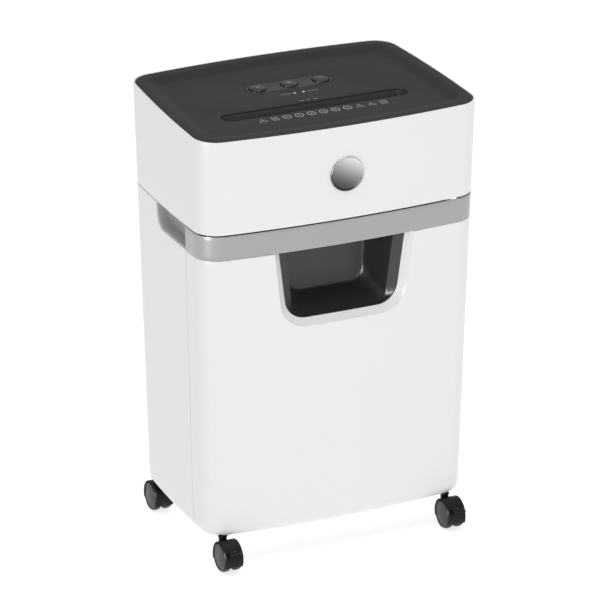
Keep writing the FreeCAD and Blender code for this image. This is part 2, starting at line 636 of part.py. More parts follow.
def cutter_feature(name, centre_y, offset, turn_step):
    """A cutting cylinder: a sleeve with a row of hooked discs, each turned a little further."""
    count = int(value("DiscCount"))
    pitch = value("DiscPitch")
    start = -count * pitch / 2 + offset
    disc = disc_solid(value("DiscRadius"), value("DiscThick"), value("NotchDepth"), 3)
    sleeve_start = -value("PlateX") + 1.5
    sleeve = Part.makeCylinder(value("SleeveRadius"), -2 * sleeve_start, Vector(sleeve_start, 0, 0),
                               X_AXIS)
    discs = []
    for index in range(count):
        copy = disc.copy()
        copy.rotate(ORIGIN, X_AXIS, turn_step * index)
        copy.translate(Vector(start + index * pitch, 0, 0))
        discs.append(copy)
    bore = Part.makeCylinder(value("ShaftRadius"), -2 * sleeve_start + 2, Vector(sleeve_start - 1, 0, 0),
                             X_AXIS)
    item = doc.addObject("Part::Feature", name)
    item.Shape = sleeve.multiFuse(discs).cut(bore)
    return put(item, ("0", centre_y, "ShaftHeight"))


def gear(name, teeth, module, width, at, tooth_angle, bore):
    """A spur gear about X; tooth_angle turns one tooth up from +Y."""
    wire_builder = fcgear.FCWireBuilder()
    involute.CreateExternalGear(wire_builder, value(module), int(value(teeth)), 20.0, True,
                                shiftCoeff=value("ToothEase"))
    wire = Part.Wire([edge.toShape() for edge in wire_builder.wire])
    profile = doc.addObject("Part::Feature", name + "_profile")
    profile.Shape = wire
    solid = doc.addObject("Part::Extrusion", name + "_solid")
    solid.Base = profile
    solid.DirMode = "Custom"
    solid.Dir = Z_AXIS
    solid.Solid = True
    bind(solid, LengthFwd=width)
    hole = rod(name + "_hole", bore, f"({width}) + 2", ("0", "0", "-1"))
    ring = cut(name + "_ring", solid, hole)
    # local X goes to +Y, local Y to +Z and local Z to +X, then the tooth is turned into place
    stand = Rotation(Y_AXIS, Z_AXIS, X_AXIS, "XYZ")
    return put(ring, at, Rotation(X_AXIS, tooth_angle) * stand)


MESH_ONE = "DriveModule * (DriveTeeth + PinionTeeth) / 2"
MESH_TWO = "MotorModule * (PinionTeeth + LargeTeeth) / 2"
IDLER_Y = f"{REAR_Y} + {MESH_ONE} * cos(MeshAngleOne)"
IDLER_Z = f"ShaftHeight + {MESH_ONE} * sin(MeshAngleOne)"
MOTOR_Y = f"{IDLER_Y} + {MESH_TWO} * cos(MeshAngleTwo)"
MOTOR_Z = f"{IDLER_Z} + {MESH_TWO} * sin(MeshAngleTwo)"


def meshing_angle(towards, teeth):
    """Angle that puts a gap of a gear where the mating tooth comes from."""
    return towards + 180 + 180 / value(teeth)


def make_gears():
    one = value("MeshAngleOne")
    two = value("MeshAngleTwo")
    gear("sync_gear_rear", "SyncTeeth", "SyncModule", "SyncWidth", ("SyncX", REAR_Y, "ShaftHeight"), 180,
         "ShaftRadius")
    gear("sync_gear_front", "SyncTeeth", "SyncModule", "SyncWidth", ("SyncX", FRONT_Y, "ShaftHeight"),
         meshing_angle(180, "SyncTeeth"), "ShaftRadius")
    gear("drive_gear", "DriveTeeth", "DriveModule", "DriveWidth", ("DriveX", REAR_Y, "ShaftHeight"), one,
         "ShaftRadius")
    small = gear("idler_small", "PinionTeeth", "DriveModule", "LargeX - DriveX",
                 ("DriveX", IDLER_Y, IDLER_Z), meshing_angle(one, "PinionTeeth"), "GearPin + RunFit")
    large = gear("idler_large", "LargeTeeth", "MotorModule", "LargeWidth", ("LargeX", IDLER_Y, IDLER_Z),
                 two, "GearPin + RunFit")
    fuse("idler_gear", small, large)
    pinion = gear("pinion_ring", "PinionTeeth", "MotorModule", "LargeWidth + 2",
                  ("LargeX - 1", MOTOR_Y, MOTOR_Z), meshing_angle(two, "PinionTeeth"), "2")
    spindle = rod("motor_spindle", "SpindleRadius", "LargeX + LargeWidth + 2 - PlateX + SpindleDepth",
                  ("PlateX - SpindleDepth", MOTOR_Y, MOTOR_Z), ALONG_X)
    fuse("motor_pinion", pinion, spindle)


def make_plate(name, low_x):
    """Steel side plate with bores for the bushes."""
    plate = block(name + "_blank", (low_x, "PlateFront", "PlateLow"),
                  (f"{low_x} + PlateThick", "PlateBack", "PlateHigh"))
    bores = [rod(f"{name}_bore_{end}", "BushRadius", "PlateThick + 2",
                 (f"{low_x} - 1", centre, "ShaftHeight"), ALONG_X)
             for end, centre in (("front", FRONT_Y), ("rear", REAR_Y))]
    if "right" in name:
        bores.append(rod(name + "_motor_hole", "SpindleRadius + 3.5", "PlateThick + 2",
                         (f"{low_x} - 1", MOTOR_Y, MOTOR_Z), ALONG_X))
    return cut(name, plate, *bores)


def make_bushes():
    bushes = []
    for side, low_x in (("left", "-PlateX - PlateThick - 1"), ("right", "PlateX - 1")):
        for end, centre in (("front", FRONT_Y), ("rear", REAR_Y)):
            at = (low_x, centre, "ShaftHeight")
            ring = rod(f"bush_ring_{side}_{end}", "BushRadius", "BushLength", at, ALONG_X)
            bore = rod(f"bush_bore_{side}_{end}", "ShaftRadius + RunFit", "BushLength", at, ALONG_X)
            bushes.append(cut(f"bush_{side}_{end}", ring, bore))
    return group("shaft_bushes", *bushes)


def make_comb(name, centre_y, outward, offset):
    """Stripper comb: a bar with a finger in every gap between the discs of one cutter."""
    sign = "-" if outward < 0 else "+"
    inner = f"{centre_y} {sign} 5"
    outer = f"{centre_y} {sign} CombReach"
    bar_out = f"{centre_y} {sign} (CombReach + CombThick)"
    low_y, high_y = (outer, inner) if outward < 0 else (inner, outer)
    bar_low, bar_high = (bar_out, outer) if outward < 0 else (outer, bar_out)
    bar = block(name + "_bar", ("-PlateX", bar_low, "CombLow"), ("PlateX", bar_high, "CombHigh"))
    fingers = []
    first = f"-DiscCount * DiscPitch / 2 + {offset} + (DiscPitch + DiscThick) / 2"
    for index in range(int(value("DiscCount")) - 1):
        middle = f"{first} + {index} * DiscPitch"
        fingers.append(block(f"{name}_finger_{index}", (f"{middle} - FingerThick / 2", low_y, "CombLow"),
                             (f"{middle} + FingerThick / 2", high_y, "CombHigh")))
    hollow = rod(name + "_hollow", "SleeveRadius + 0.6", "2 * PlateX",
                 ("-PlateX", centre_y, "ShaftHeight"), ALONG_X)
    return cut(name, fuse(name + "_solid", bar, *fingers), hollow)


def make_mechanism():
    make_shaft("cutter_shaft_front", FRONT_Y, "SyncX + SyncWidth + 1")
    make_shaft("cutter_shaft_rear", REAR_Y, "CoverX + CoverThick + 1")
    cutter_feature("cutter_front", FRONT_Y, 0.2, 17)
    cutter_feature("cutter_rear", REAR_Y, 0.2 + value("DiscPitch") / 2, -17)
    make_gears()
    make_plate("bearing_plate_left", "-PlateX - PlateThick")
    make_plate("bearing_plate_right", "PlateX")
    make_bushes()
    make_comb("stripper_comb_front", FRONT_Y, -1, "0.2")
    make_comb("stripper_comb_rear", REAR_Y, 1, "0.2 + DiscPitch / 2")
    places = (("front", "PlateFront + 7", "PlateHigh - 6"), ("back", "PlateBack - 8", "PlateLow + 10"),
              ("low", "PlateFront + 7", "PlateLow + 7"))
    ties = [rod(f"tie_rod_{place}", "TieRadius", "2 * PlateX", ("-PlateX", along, high), ALONG_X)
            for place, along, high in places]
    group("tie_rods", *ties)
    chassis = block("chassis_blank", ("-ChassisX", "-ChassisY", "ChassisLow"),
                    ("ChassisX", "ChassisY", "ChassisLow + ChassisThick"))
    outlet = block("chassis_outlet", ("-OutletHalf", "OutletFront", "ChassisLow - 1"),
                   ("OutletHalf", "OutletBack", "ChassisLow + 5"))
    holes = [rod(f"screw_hole_{side}_{along}", "ScrewShank", "ChassisThick + 2",
                 (f"{side} * ScrewX", f"{along} * ScrewY", "ChassisLow - 1"), ALONG_Z)
             for side in (-1, 1) for along in (-1, 1)]
    cut("chassis_plate", chassis, outlet, *holes)
    cover = block("gear_cover_blank", ("CoverX", "PlateFront + 30", "PlateLow"),
                  ("CoverX + CoverThick", "PlateBack", "PlateHigh + 4"))
    bore = rod("gear_cover_bore", "ShaftRadius + RunFit", "20", ("CoverX - 5", REAR_Y, "ShaftHeight"),
               ALONG_X)
    cut("gear_cover", cover, bore)
    rod("idler_pin", "GearPin", "CoverX - PlateX - PlateThick", ("PlateX + PlateThick", IDLER_Y, IDLER_Z),
        ALONG_X)


def make_motor():
    can = rod("motor_can", "MotorRadius", "MotorLength", ("PlateX - MotorLength", MOTOR_Y, MOTOR_Z),
              ALONG_X)
    bell = rod("motor_bell", "MotorRadius - 6", "8", ("PlateX - MotorLength - 7", MOTOR_Y, MOTOR_Z),
               ALONG_X)
    hollow = rod("motor_bore", "SpindleRadius + RunFit", "SpindleDepth + 2",
                 ("PlateX - SpindleDepth - 1", MOTOR_Y, MOTOR_Z), ALONG_X)
    cut("motor", fuse("motor_solid", can, bell), hollow)
    rod("run_capacitor", "CapacitorRadius", "CapacitorLength",
        ("-70", "CapacitorY", "ChassisLow + ChassisThick + CapacitorRadius"), ALONG_X)


def make_electrics():
    """Control board under the buttons, with one switch below each stem."""
    stem_foot = "RimHeight - DishDepth + StripProud + ButtonProud - ButtonHigh - StemLength"
    switch_top = f"{stem_foot} - 1.6"
    board_top = f"{switch_top} - SwitchHigh"
    board = block("board_blank", ("-BoardHalf", "ButtonY - BoardDepth / 2", f"{board_top} - BoardThick"),
                  ("BoardHalf", "ButtonY + BoardDepth / 2", board_top))
    leaned(group("control_board", board))
    switches = [block(f"switch_{side}", (f"{side} * ButtonPitch - 4", "ButtonY - 4", board_top),
                      (f"{side} * ButtonPitch + 4", "ButtonY + 4", switch_top)) for side in (-1, 0, 1)]
    leaned(group("button_switches", *switches))
    posts = [rod(f"board_post_{side}", "2.5", f"RimHeight - PanelThick - ({board_top})",
                 (f"{side} * PostX", "ButtonY", board_top)) for side in (-1, 1)]
    leaned(group("board_posts", *posts))


def make_screws():
    """Screws that hold the mechanism down to the chassis plate."""
    screws = []
    for side in (-1, 1):
        for along in (-1, 1):
            at = (f"{side} * ScrewX", f"{along} * ScrewY")
            head = rod(f"screw_head_{side}_{along}", "ScrewHead", "2.2", (*at, "ChassisLow + ChassisThick"))
            shank = rod(f"screw_shank_{side}_{along}", "ScrewShank", "ChassisThick", (*at, "ChassisLow"))
            screws.append(fuse(f"screw_{side}_{along}", head, shank))
    group("chassis_screws", *screws)


# ---------------------------------------------------------------- casters

def make_caster(end, side, sign, along, way):
    """A swivel caster: a hood on a stem, an axle and two wheels; way is where it trails to."""
    name = f"{end}_{side}"
    x = f"{sign}CasterX"
    axle_y = f"{along} {way} CasterTrail"
    axle = (f"{x} - HoodHalf", axle_y, "WheelRadius")
    web_disc = rod(f"web_disc_{name}", "WebRadius", "2 * WebHalf",
                   (f"{x} - WebHalf", axle_y, "WheelRadius"), ALONG_X)
    inside = rod(f"web_limit_{name}", "HoodOuter", "2 * HoodHalf", axle, ALONG_X)
    reach = block(f"web_zone_{name}", (f"{x} - WebHalf", f"{axle_y} - HoodOuter", "WheelRadius"),
                  (f"{x} + WebHalf", f"{axle_y} + HoodOuter", "60"))
    web = common(f"web_{name}", inside, reach)
    ring = rod(f"hood_ring_{name}", "HoodOuter", "2 * HoodHalf", axle, ALONG_X)
    void = rod(f"hood_void_{name}", "HoodInner", "2 * HoodHalf", axle, ALONG_X)
    zone = block(f"hood_zone_{name}", (f"{x} - HoodHalf", f"{axle_y} - 30", "HoodLow"),
                 (f"{x} + HoodHalf", f"{axle_y} + 30", "60"))
    hood = common(f"hood_{name}", cut(f"hood_shell_{name}", ring, void), zone)
    foot = block(f"neck_foot_{name}", (f"{x} - WebHalf", f"{along} - NeckRadius", "NeckLow - 7"),
                 (f"{x} + WebHalf", f"{along} + NeckRadius", "NeckLow + 1"))
    neck = rod(f"neck_{name}", "NeckRadius", "FlareLow - NeckLow", (x, along, "NeckLow"))
    flare = cone(f"flare_{name}", "NeckRadius", "FlareRadius", "FlareHigh - FlareLow",
                 (x, along, "FlareLow"))
    stem = rod(f"stem_{name}", "StemRadius", "StemTop - NeckLow", (x, along, "NeckLow"))
    parts = [web_disc, web, hood, foot, neck, flare, stem]
    pin_y = f"{axle_y} - BrakeReach"
    if end == "front":
        parts.append(block(f"brake_arm_{name}", (f"{x} - WebHalf", f"{pin_y} - 1.2", "BrakePinZ - 1.6"),
                           (f"{x} + WebHalf", f"{axle_y} - 8", "BrakePinZ + 1.2")))
        parts.append(rod(f"brake_pin_{name}", "BrakePinRadius", "2 * BrakeHalf - 2",
                         (f"{x} - BrakeHalf + 1", pin_y, "BrakePinZ"), ALONG_X))
    bore = rod(f"axle_bore_{name}", "AxleRadius", "2 * WebHalf + 2",
               (f"{x} - WebHalf - 1", axle_y, "WheelRadius"), ALONG_X)
    cut(f"caster_hood_{name}", fuse(f"hood_solid_{name}", *parts), bore)
    rod(f"caster_axle_{name}", "AxleRadius", "2 * (WheelInner + WheelWidth) - 4",
        (f"{x} - WheelInner - WheelWidth + 2", axle_y, "WheelRadius"), ALONG_X)
    make_wheels(name, x, axle_y)
    if end == "front":
        make_brake(name, side, x, pin_y)


def make_wheels(name, x, axle_y):
    profile = [("AxleRadius + RunFit", "0"), ("WheelRadius", "0"), ("WheelRadius", "WheelWidth - 1.2"),
               ("WheelRadius - 0.9", "WheelWidth"), ("WheelRadius - 2.2", "WheelWidth"),
               ("WheelRadius - 2.8", "WheelWidth - 0.8"), ("AxleRadius + RunFit", "WheelWidth - 0.2")]
    outwards = (("inner", f"{x} + WheelInner", ALONG_X),
                ("outer", f"{x} - WheelInner", Rotation(Y_AXIS, -90)))
    wheels = [turned(f"wheel_{face}_{name}", profile, (start, axle_y, "WheelRadius"), turn)
              for face, start, turn in outwards]
    group(f"caster_wheels_{name}", *wheels)


def make_brake(name, side, x, pin_y):
    """A foot lever that turns on the hood's pin."""
    barrel = rod(f"brake_barrel_{name}", "BrakeBarrel", "2 * BrakeHalf",
                 (f"{x} - BrakeHalf", pin_y, "BrakePinZ"), ALONG_X)
    low = "BrakePinZ - BrakeBarrel + 0.6"
    tab = block(f"brake_tab_{name}", (f"{x} - BrakeHalf", f"{pin_y} - BrakeTab", low),
                (f"{x} + BrakeHalf", pin_y, f"{low} + BrakeThick"))
    gap = block(f"brake_gap_{name}", (f"{x} - WebHalf - 0.3", f"{pin_y} - 2.6", "20"),
                (f"{x} + WebHalf + 0.3", f"{pin_y} + 9", "60"))
    hole = rod(f"brake_hole_{name}", "BrakePinRadius + RunFit", "40", (f"{x} - 20", pin_y, "BrakePinZ"),
               ALONG_X)
    relief = rod(f"brake_relief_{name}", "HoodOuter + 0.4", "40",
                 (f"{x} - 20", f"{pin_y} + BrakeReach", "WheelRadius"), ALONG_X)
    cut(f"brake_lever_{side}", fuse(f"brake_solid_{name}", barrel, tab), gap, hole, relief)


# ---------------------------------------------------------------- assembly

make_head_shell()
make_top_panel()
make_control_strip()
make_lamps()
for button_name, column in (("button_left", -1), ("button_centre", 0), ("button_right", 1)):
    make_button(button_name, column)
make_throat_chute()
make_badge()
make_inlet()
make_cabinet()
for side, sign in SIDES:
    make_grip(side, sign)
make_base_tray()
make_drawer_front()
make_band()
make_scoop()
make_bin()
make_rails()
make_mechanism()
make_motor()
make_electrics()
make_screws()
for end, along, way in (("front", "CasterFrontY", "-"), ("back", "CasterBackY", "+")):
    for side, sign in SIDES:
        make_caster(end, side, sign, along, way)

CASTERS = [f"{end}_{side}" for end in ("front", "back") for side in ("left", "right")]
NODES = [
    "head_shell", "top_panel", "control_strip", "indicator_lenses", "button_left", "button_centre",
    "button_right", "throat_chute", "badge", "power_inlet", "cabinet_body", "grip_left", "grip_right",
    "base_tray", "caster_sockets", "drawer_front", "silver_band", "window_scoop", "bin_tub", "drawer_rails",
    "cutter_shaft_front", "cutter_shaft_rear", "cutter_front", "cutter_rear", "sync_gear_front",
    "sync_gear_rear", "drive_gear", "idler_gear", "idler_pin", "motor_pinion", "motor",
    "bearing_plate_left", "bearing_plate_right", "shaft_bushes", "stripper_comb_front",
    "stripper_comb_rear", "tie_rods", "chassis_plate", "gear_cover", "run_capacitor",
    "control_board", "button_switches", "board_posts", "chassis_screws", "brake_lever_left",
    "brake_lever_right",
]
for caster in CASTERS:
    NODES += [f"caster_hood_{caster}", f"caster_axle_{caster}", f"caster_wheels_{caster}"]

GEAR_RINGS = {"sync_gear_front": "sync_gear_front_ring", "sync_gear_rear": "sync_gear_rear_ring",
              "drive_gear": "drive_gear_ring"}

doc.recompute()
for item in doc.Objects:
    for state in item.State:
        if state in ("Invalid", "Error"):
            raise RuntimeError(f"{item.Name} failed: {state}")

os.makedirs("parts", exist_ok=True)
for node in NODES:
    item = doc.getObject(GEAR_RINGS.get(node, node))
    item.Label = node
    shape = item.Shape
    if shape.isNull() or not shape.isValid():
        raise RuntimeError(f"{node} has no valid shape")
    print(node, len(shape.Solids), round(shape.Volume), shape.BoundBox)
    shape.exportStep(f"parts/{node}.step")
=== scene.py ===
import json
import math

import bmesh
import bpy
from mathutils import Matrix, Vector


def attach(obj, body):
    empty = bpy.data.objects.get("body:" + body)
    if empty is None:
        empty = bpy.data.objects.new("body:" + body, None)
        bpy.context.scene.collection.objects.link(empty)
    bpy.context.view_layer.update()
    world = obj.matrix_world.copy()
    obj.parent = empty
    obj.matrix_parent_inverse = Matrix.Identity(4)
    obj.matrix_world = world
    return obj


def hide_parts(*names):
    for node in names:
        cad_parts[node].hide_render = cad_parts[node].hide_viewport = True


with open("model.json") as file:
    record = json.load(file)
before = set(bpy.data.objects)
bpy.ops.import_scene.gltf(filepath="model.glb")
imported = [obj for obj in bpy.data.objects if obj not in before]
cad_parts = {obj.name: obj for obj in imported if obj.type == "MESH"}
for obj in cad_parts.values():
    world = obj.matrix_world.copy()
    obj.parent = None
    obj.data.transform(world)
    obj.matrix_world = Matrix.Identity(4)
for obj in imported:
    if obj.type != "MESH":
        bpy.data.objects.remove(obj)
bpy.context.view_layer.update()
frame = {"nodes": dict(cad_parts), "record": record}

# Looks of an office paper shredder. Shapes are drawn in millimetres, and each mesh is scaled to metres.
MM = 0.001

# ---- sizes of the form, as in the CAD

FRONT_X, FRONT_Y, FRONT_BOW = 178.5, -113.2, 10.8
BACK_X, BACK_Y, BACK_BOW = 167.9, 114.9, 9.1
SIDE_BOW = 3.6
SIDE_TAPER, DEPTH_TAPER = 0.0218, 0.0231
CORNER = 29.3
RIM_Z, BASE_Z = 537.1, 38.2
LEAN = math.radians(2.57)
SEAM_Z, BAND_Z, SEAM_Y = 418.2, 387.9, -60.6
GAP = 0.8
WALL, SKIN_WALL = 3.0, 2.6
BASE_ROUND = 12.0
PANEL_INSET = 2.3
DISH_DEPTH, DISH_OUTER, DISH_INNER = 4.5, 11.5, 30.0
THROAT_Y, THROAT_LENGTH, THROAT_WIDTH = -38.0, 237.0, 22.5
SLIT_LENGTH, SLIT_WIDTH = 221.5, 7.0
BUTTON_Y, BUTTON_PITCH, BUTTON_R, RING_R = 31.5, 40.5, 9.6, 10.75
STRIP_LENGTH, STRIP_WIDTH = 109.0, 27.0
LAMP_X, LAMP_Y, LAMP_R = 5.7, 4.4, 1.6
WINDOW_TOP, WINDOW_LOW, WINDOW_Z, WINDOW_R = 92.4, 77.5, 293.0, 34.0
BEVEL_WIDE, BEVEL_DEEP = 8.0, 8.3
SCOOP_BACK_Y, FACET_IN, FACET_DEEP = -62.5, 11.0, 6.5
GRIP_REAR, GRIP_Z, GRIP_R, GRIP_DEEP = 27.5, 388.4, 19.0, 16.0
BADGE_R, BADGE_Z = 21.0, 474.0
PRINT_THICK = 0.08
CASTER_X, CASTER_FRONT, CASTER_BACK, TRAIL = 145.5, -92.7, 76.3, 15.0
HOOD_IN, HOOD_OUT, HOOD_HALF, HOOD_ANGLE = 18.0, 19.3, 11.2, 23.7
WEB_HALF, PIN_REACH, PIN_Z = 3.2, 20.6, 29.5
WHEEL_R, WHEEL_WIDE, WHEEL_IN = 17.5, 8.4, 3.7
NOTCH_R, HOLE_R = 6.4, 6.4


# light of the studio: floor glow, sky, and the power of the three softboxes in watts
FLOOR_GLOW, SKY = 0.74, 0.50
KEY, OVERHEAD, CORNER_STRIP = 27.5, 46.0, 130.0


# ---- mesh helpers

def new_object(name, vertices, faces, material, smooth=40.0):
    """A mesh object from millimetre points, shaded smooth except over sharp angles."""
    mesh = bpy.data.meshes.new(name)
    mesh.from_pydata([tuple(coordinate * MM for coordinate in point) for point in vertices], [], faces)
    mesh.validate()
    item = bpy.data.objects.new(name, mesh)
    bpy.context.scene.collection.objects.link(item)
    mesh.materials.append(material)
    finish_mesh(item, smooth)
    return item


def finish_mesh(item, smooth=40.0):
    mesh = item.data
    shape = bmesh.new()
    shape.from_mesh(mesh)
    bmesh.ops.remove_doubles(shape, verts=shape.verts, dist=2e-6)
    bmesh.ops.recalc_face_normals(shape, faces=shape.faces)
    shape.to_mesh(mesh)
    shape.free()
    mesh.shade_smooth()
    mesh.set_sharp_from_angle(angle=math.radians(smooth))


def face_outwards(item, centre):
    """Turn all faces of an open sheet so that they look away from a point."""
    mesh = item.data
    middle = Vector(centre) * MM
    total = sum((face.center - middle).dot(face.normal) * face.area for face in mesh.polygons)
    if total < 0:
        mesh.flip_normals()


def applied(item, *modifiers):
    """Add modifiers as (type, settings) and bake them into the mesh."""
    for kind, settings in modifiers:
        modifier = item.modifiers.new(kind.lower(), kind)
        for key, setting in settings.items():
            setattr(modifier, key, setting)
    graph = bpy.context.evaluated_depsgraph_get()
    mesh = bpy.data.meshes.new_from_object(item.evaluated_get(graph))
    old = item.data
    item.modifiers.clear()
    item.data = mesh
    bpy.data.meshes.remove(old)
    return item


def thicken(item, wall, edge=0.5):
    """Give a sheet its wall, inwards, and break its sharp edges."""
    return applied(item, ("SOLIDIFY", {"thickness": wall * MM, "offset": -1.0, "use_even_offset": True}),
                   ("BEVEL", {"width": edge * MM, "segments": 2, "limit_method": "ANGLE",
                              "angle_limit": math.radians(50), "harden_normals": False}))


def carve(item, *tools):
    """Subtract tools from a piece, then delete them."""
    for tool in tools:
        applied(item, ("BOOLEAN", {"operation": "DIFFERENCE", "object": tool, "solver": "EXACT"}))
        bpy.data.objects.remove(tool)
    item.data.shade_smooth()
    item.data.set_sharp_from_angle(angle=math.radians(30))
    return item


def grid_faces(rows, columns, closed=False, start=0):
    """Quads of a grid stored row by row; closed joins the last column to the first."""
    faces = []
    span = columns if closed else columns - 1
    for row in range(rows - 1):
        for column in range(span):
            right = (column + 1) % columns
            low = start + row * columns
            faces.append((low + column, low + right, low + columns + right, low + columns + column))
    return faces


def skin_of(name, rows, material, closed=False, smooth=40.0, caps=()):
    """A surface through rows of points; caps lists rows (0 or -1) that are closed by one face."""
    columns = len(rows[0])
    points = [point for row in rows for point in row]
    faces = grid_faces(len(rows), columns, closed)
    for cap in caps:
        first = (len(rows) + cap) % len(rows) * columns
        faces.append(tuple(range(first, first + columns)))
    return new_object(name, points, faces, material, smooth)


def lathe(name, profile, centre, axis, material, steps=64):
    """A solid of revolution: profile is a list of (radius, distance along the axis)."""
    turn = Vector((0, 0, 1)).rotation_difference(Vector(axis)).to_matrix()
    middle = Vector(centre)
    rows = []
    for radius, along in profile:
        row = []
        for step in range(steps):
            angle = 2 * math.pi * step / steps
            row.append(middle + turn @ Vector((radius * math.cos(angle), radius * math.sin(angle), along)))
        rows.append(row)
    return skin_of(name, rows, material, closed=True, smooth=35.0)


def joined(name, pieces):
    """Merge pieces into one object under a new name."""
    first = pieces[0]
    shape = bmesh.new()
    slots = []
    for piece in pieces:
        offset = len(shape.faces)
        shape.from_mesh(piece.data)
        shape.faces.ensure_lookup_table()
        for index in range(offset, len(shape.faces)):
            material = piece.data.materials[shape.faces[index].material_index]
            if material not in slots:
                slots.append(material)
            shape.faces[index].material_index = slots.index(material)
    mesh = bpy.data.meshes.new(name)
    shape.to_mesh(mesh)
    shape.free()
    for material in slots:
        mesh.materials.append(material)
    for piece in pieces[1:]:
        bpy.data.objects.remove(piece)
    first.data = mesh
    first.name = name
    mesh.set_sharp_from_angle(angle=math.radians(35))
    return first


def block(name, low, high, material, edge=0.6):
    """A box with softened edges."""
    x0, y0, z0 = low
    x1, y1, z1 = high
    points = [(x0, y0, z0), (x1, y0, z0), (x1, y1, z0), (x0, y1, z0),
              (x0, y0, z1), (x1, y0, z1), (x1, y1, z1), (x0, y1, z1)]
    faces = [(0, 3, 2, 1), (4, 5, 6, 7), (0, 1, 5, 4), (1, 2, 6, 5), (2, 3, 7, 6), (3, 0, 4, 7)]
    item = new_object(name, points, faces, material)
    if edge:
        applied(item, ("BEVEL", {"width": edge * MM, "segments": 2, "limit_method": "ANGLE"}))
    return item


def lean(point):
    """Lean a point that is drawn level at the rim height."""
    x, y, z = point
    z -= RIM_Z
    return (x, y * math.cos(LEAN) - z * math.sin(LEAN), RIM_Z + y * math.sin(LEAN) + z * math.cos(LEAN))


def leaned(rows):
    return [[lean(point) for point in row] for row in rows]


# ---- the bowed plan

FRONT_STEPS, CORNER_STEPS, SIDE_STEPS, BACK_STEPS = 56, 14, 40, 40
# columns of the drawer's wall: beside a seam, beside the window, across the window
SEAM_COLUMNS, EDGE_COLUMNS, WINDOW_COLUMNS = 8, 8, 44
# columns of the cabinet's wall: across a grip, and behind it
GRIP_COLUMNS, REAR_COLUMNS = 22, 10
# how much of the front's half width the window's columns take, and of the side the grip's
WINDOW_SHARE, GRIP_SHARE = 0.72, 0.66


def bow_arc(start, end, bow):
    """Centre and radius of the shallow arc that bows out between two corners."""
    chord = (end - start).length
    radius = chord * chord / (8 * bow) + bow / 2
    inward = Vector((-(end - start).y, (end - start).x)) / chord
    return (start + end) / 2 + inward * (radius - bow), radius


def corner_centre(one, two, small, near):
    """Centre of a corner arc of radius small, tangent inside two side arcs."""
    (first, far), (second, long) = one, two
    far, long = far - small, long - small
    gap = (second - first).length
    along = (gap ** 2 + far ** 2 - long ** 2) / (2 * gap)
    across = math.sqrt(far ** 2 - along ** 2)
    direction = (second - first) / gap
    foot = first + direction * along
    side = Vector((-direction.y, direction.x)) * across
    return min((foot + side, foot - side), key=lambda point: (point - near).length)


def plan(z, inset):
    """The four side arcs and four corner arcs at a height, each as (centre, radius, start, end)."""
    drop = RIM_Z - z
    fx = FRONT_X - SIDE_TAPER * drop - inset
    bx = BACK_X - SIDE_TAPER * drop - inset
    fy = FRONT_Y + DEPTH_TAPER * drop + inset
    by = BACK_Y - DEPTH_TAPER * drop - inset
    points = [Vector((-fx, fy)), Vector((fx, fy)), Vector((bx, by)), Vector((-bx, by))]
    bows = (FRONT_BOW, SIDE_BOW, BACK_BOW, SIDE_BOW)
    sides = [bow_arc(points[i], points[(i + 1) % 4], bows[i]) for i in range(4)]
    small = max(CORNER - inset, 3.0)
    centres = [corner_centre(sides[i], sides[(i + 1) % 4], small, points[(i + 1) % 4]) for i in range(4)]
    arcs = []
    for i in range(4):
        centre, radius = sides[i]
        start = direction_angle(centres[i - 1] - centre)
        end = direction_angle(centres[i] - centre, start)
        arcs.append((centre, radius, start, end))
        after = sides[(i + 1) % 4][0]
        arcs.append((centres[i], small, direction_angle(centres[i] - centre),
                     direction_angle(centres[i] - after, direction_angle(centres[i] - centre))))
    return arcs


def direction_angle(vector, at_least=None):
    angle = math.atan2(vector.y, vector.x)
    if at_least is not None:
        while angle < at_least:
            angle += 2 * math.pi
    return angle


def along_arc(arc, fractions):
    centre, radius, start, end = arc
    angles = [start + (end - start) * fraction for fraction in fractions]
    return [(centre.x + radius * math.cos(angle), centre.y + radius * math.sin(angle)) for angle in angles]


def even(count):
    return [index / count for index in range(count)]


def closed_plan(z, inset):
    """The whole outline, counter-clockwise from the front left."""
    steps = (FRONT_STEPS, CORNER_STEPS, SIDE_STEPS, CORNER_STEPS, BACK_STEPS, CORNER_STEPS, SIDE_STEPS,
             CORNER_STEPS)
    points = []
    for arc, count in zip(plan(z, inset), steps):
        points += along_arc(arc, even(count))
    return points


def side_fraction(arc, y):
    """How far along a side arc a given y lies, from 0 to 1."""
    centre, radius, start, end = arc
    angle = math.asin((y - centre.y) / radius)
    if math.cos(start) < 0:
        angle = math.pi - angle
    while angle < start - 0.5:
        angle += 2 * math.pi
    return (angle - start) / (end - start)


FRONT_SHARES = ([(-1 + (1 - WINDOW_SHARE) * i / EDGE_COLUMNS) for i in range(EDGE_COLUMNS)]
                + [-WINDOW_SHARE + 2 * WINDOW_SHARE * i / WINDOW_COLUMNS for i in range(WINDOW_COLUMNS)]
                + [WINDOW_SHARE + (1 - WINDOW_SHARE) * i / EDGE_COLUMNS for i in range(EDGE_COLUMNS + 1)])
SIDE_SHARES = ([GRIP_SHARE * i / GRIP_COLUMNS for i in range(GRIP_COLUMNS)]
               + [GRIP_SHARE + (1 - GRIP_SHARE) * i / REAR_COLUMNS for i in range(REAR_COLUMNS + 1)])


def drawer_plan(z, inset):
    """The front part of the outline, from the left seam round to the right seam."""
    front, right_corner, right, _, _, _, left, left_corner = plan(z, inset)
    stop = side_fraction(right, SEAM_Y - GAP / 2)
    begin = side_fraction(left, SEAM_Y - GAP / 2)
    points = along_arc(left, [begin + (1 - begin) * i / SEAM_COLUMNS for i in range(SEAM_COLUMNS)])
    points += along_arc(left_corner, even(CORNER_STEPS))
    points += along_arc(front, [(share + 1) / 2 for share in FRONT_SHARES])
    points += along_arc(right_corner, even(CORNER_STEPS)[1:])
    points += along_arc(right, [stop * i / SEAM_COLUMNS for i in range(SEAM_COLUMNS + 1)])
    return points


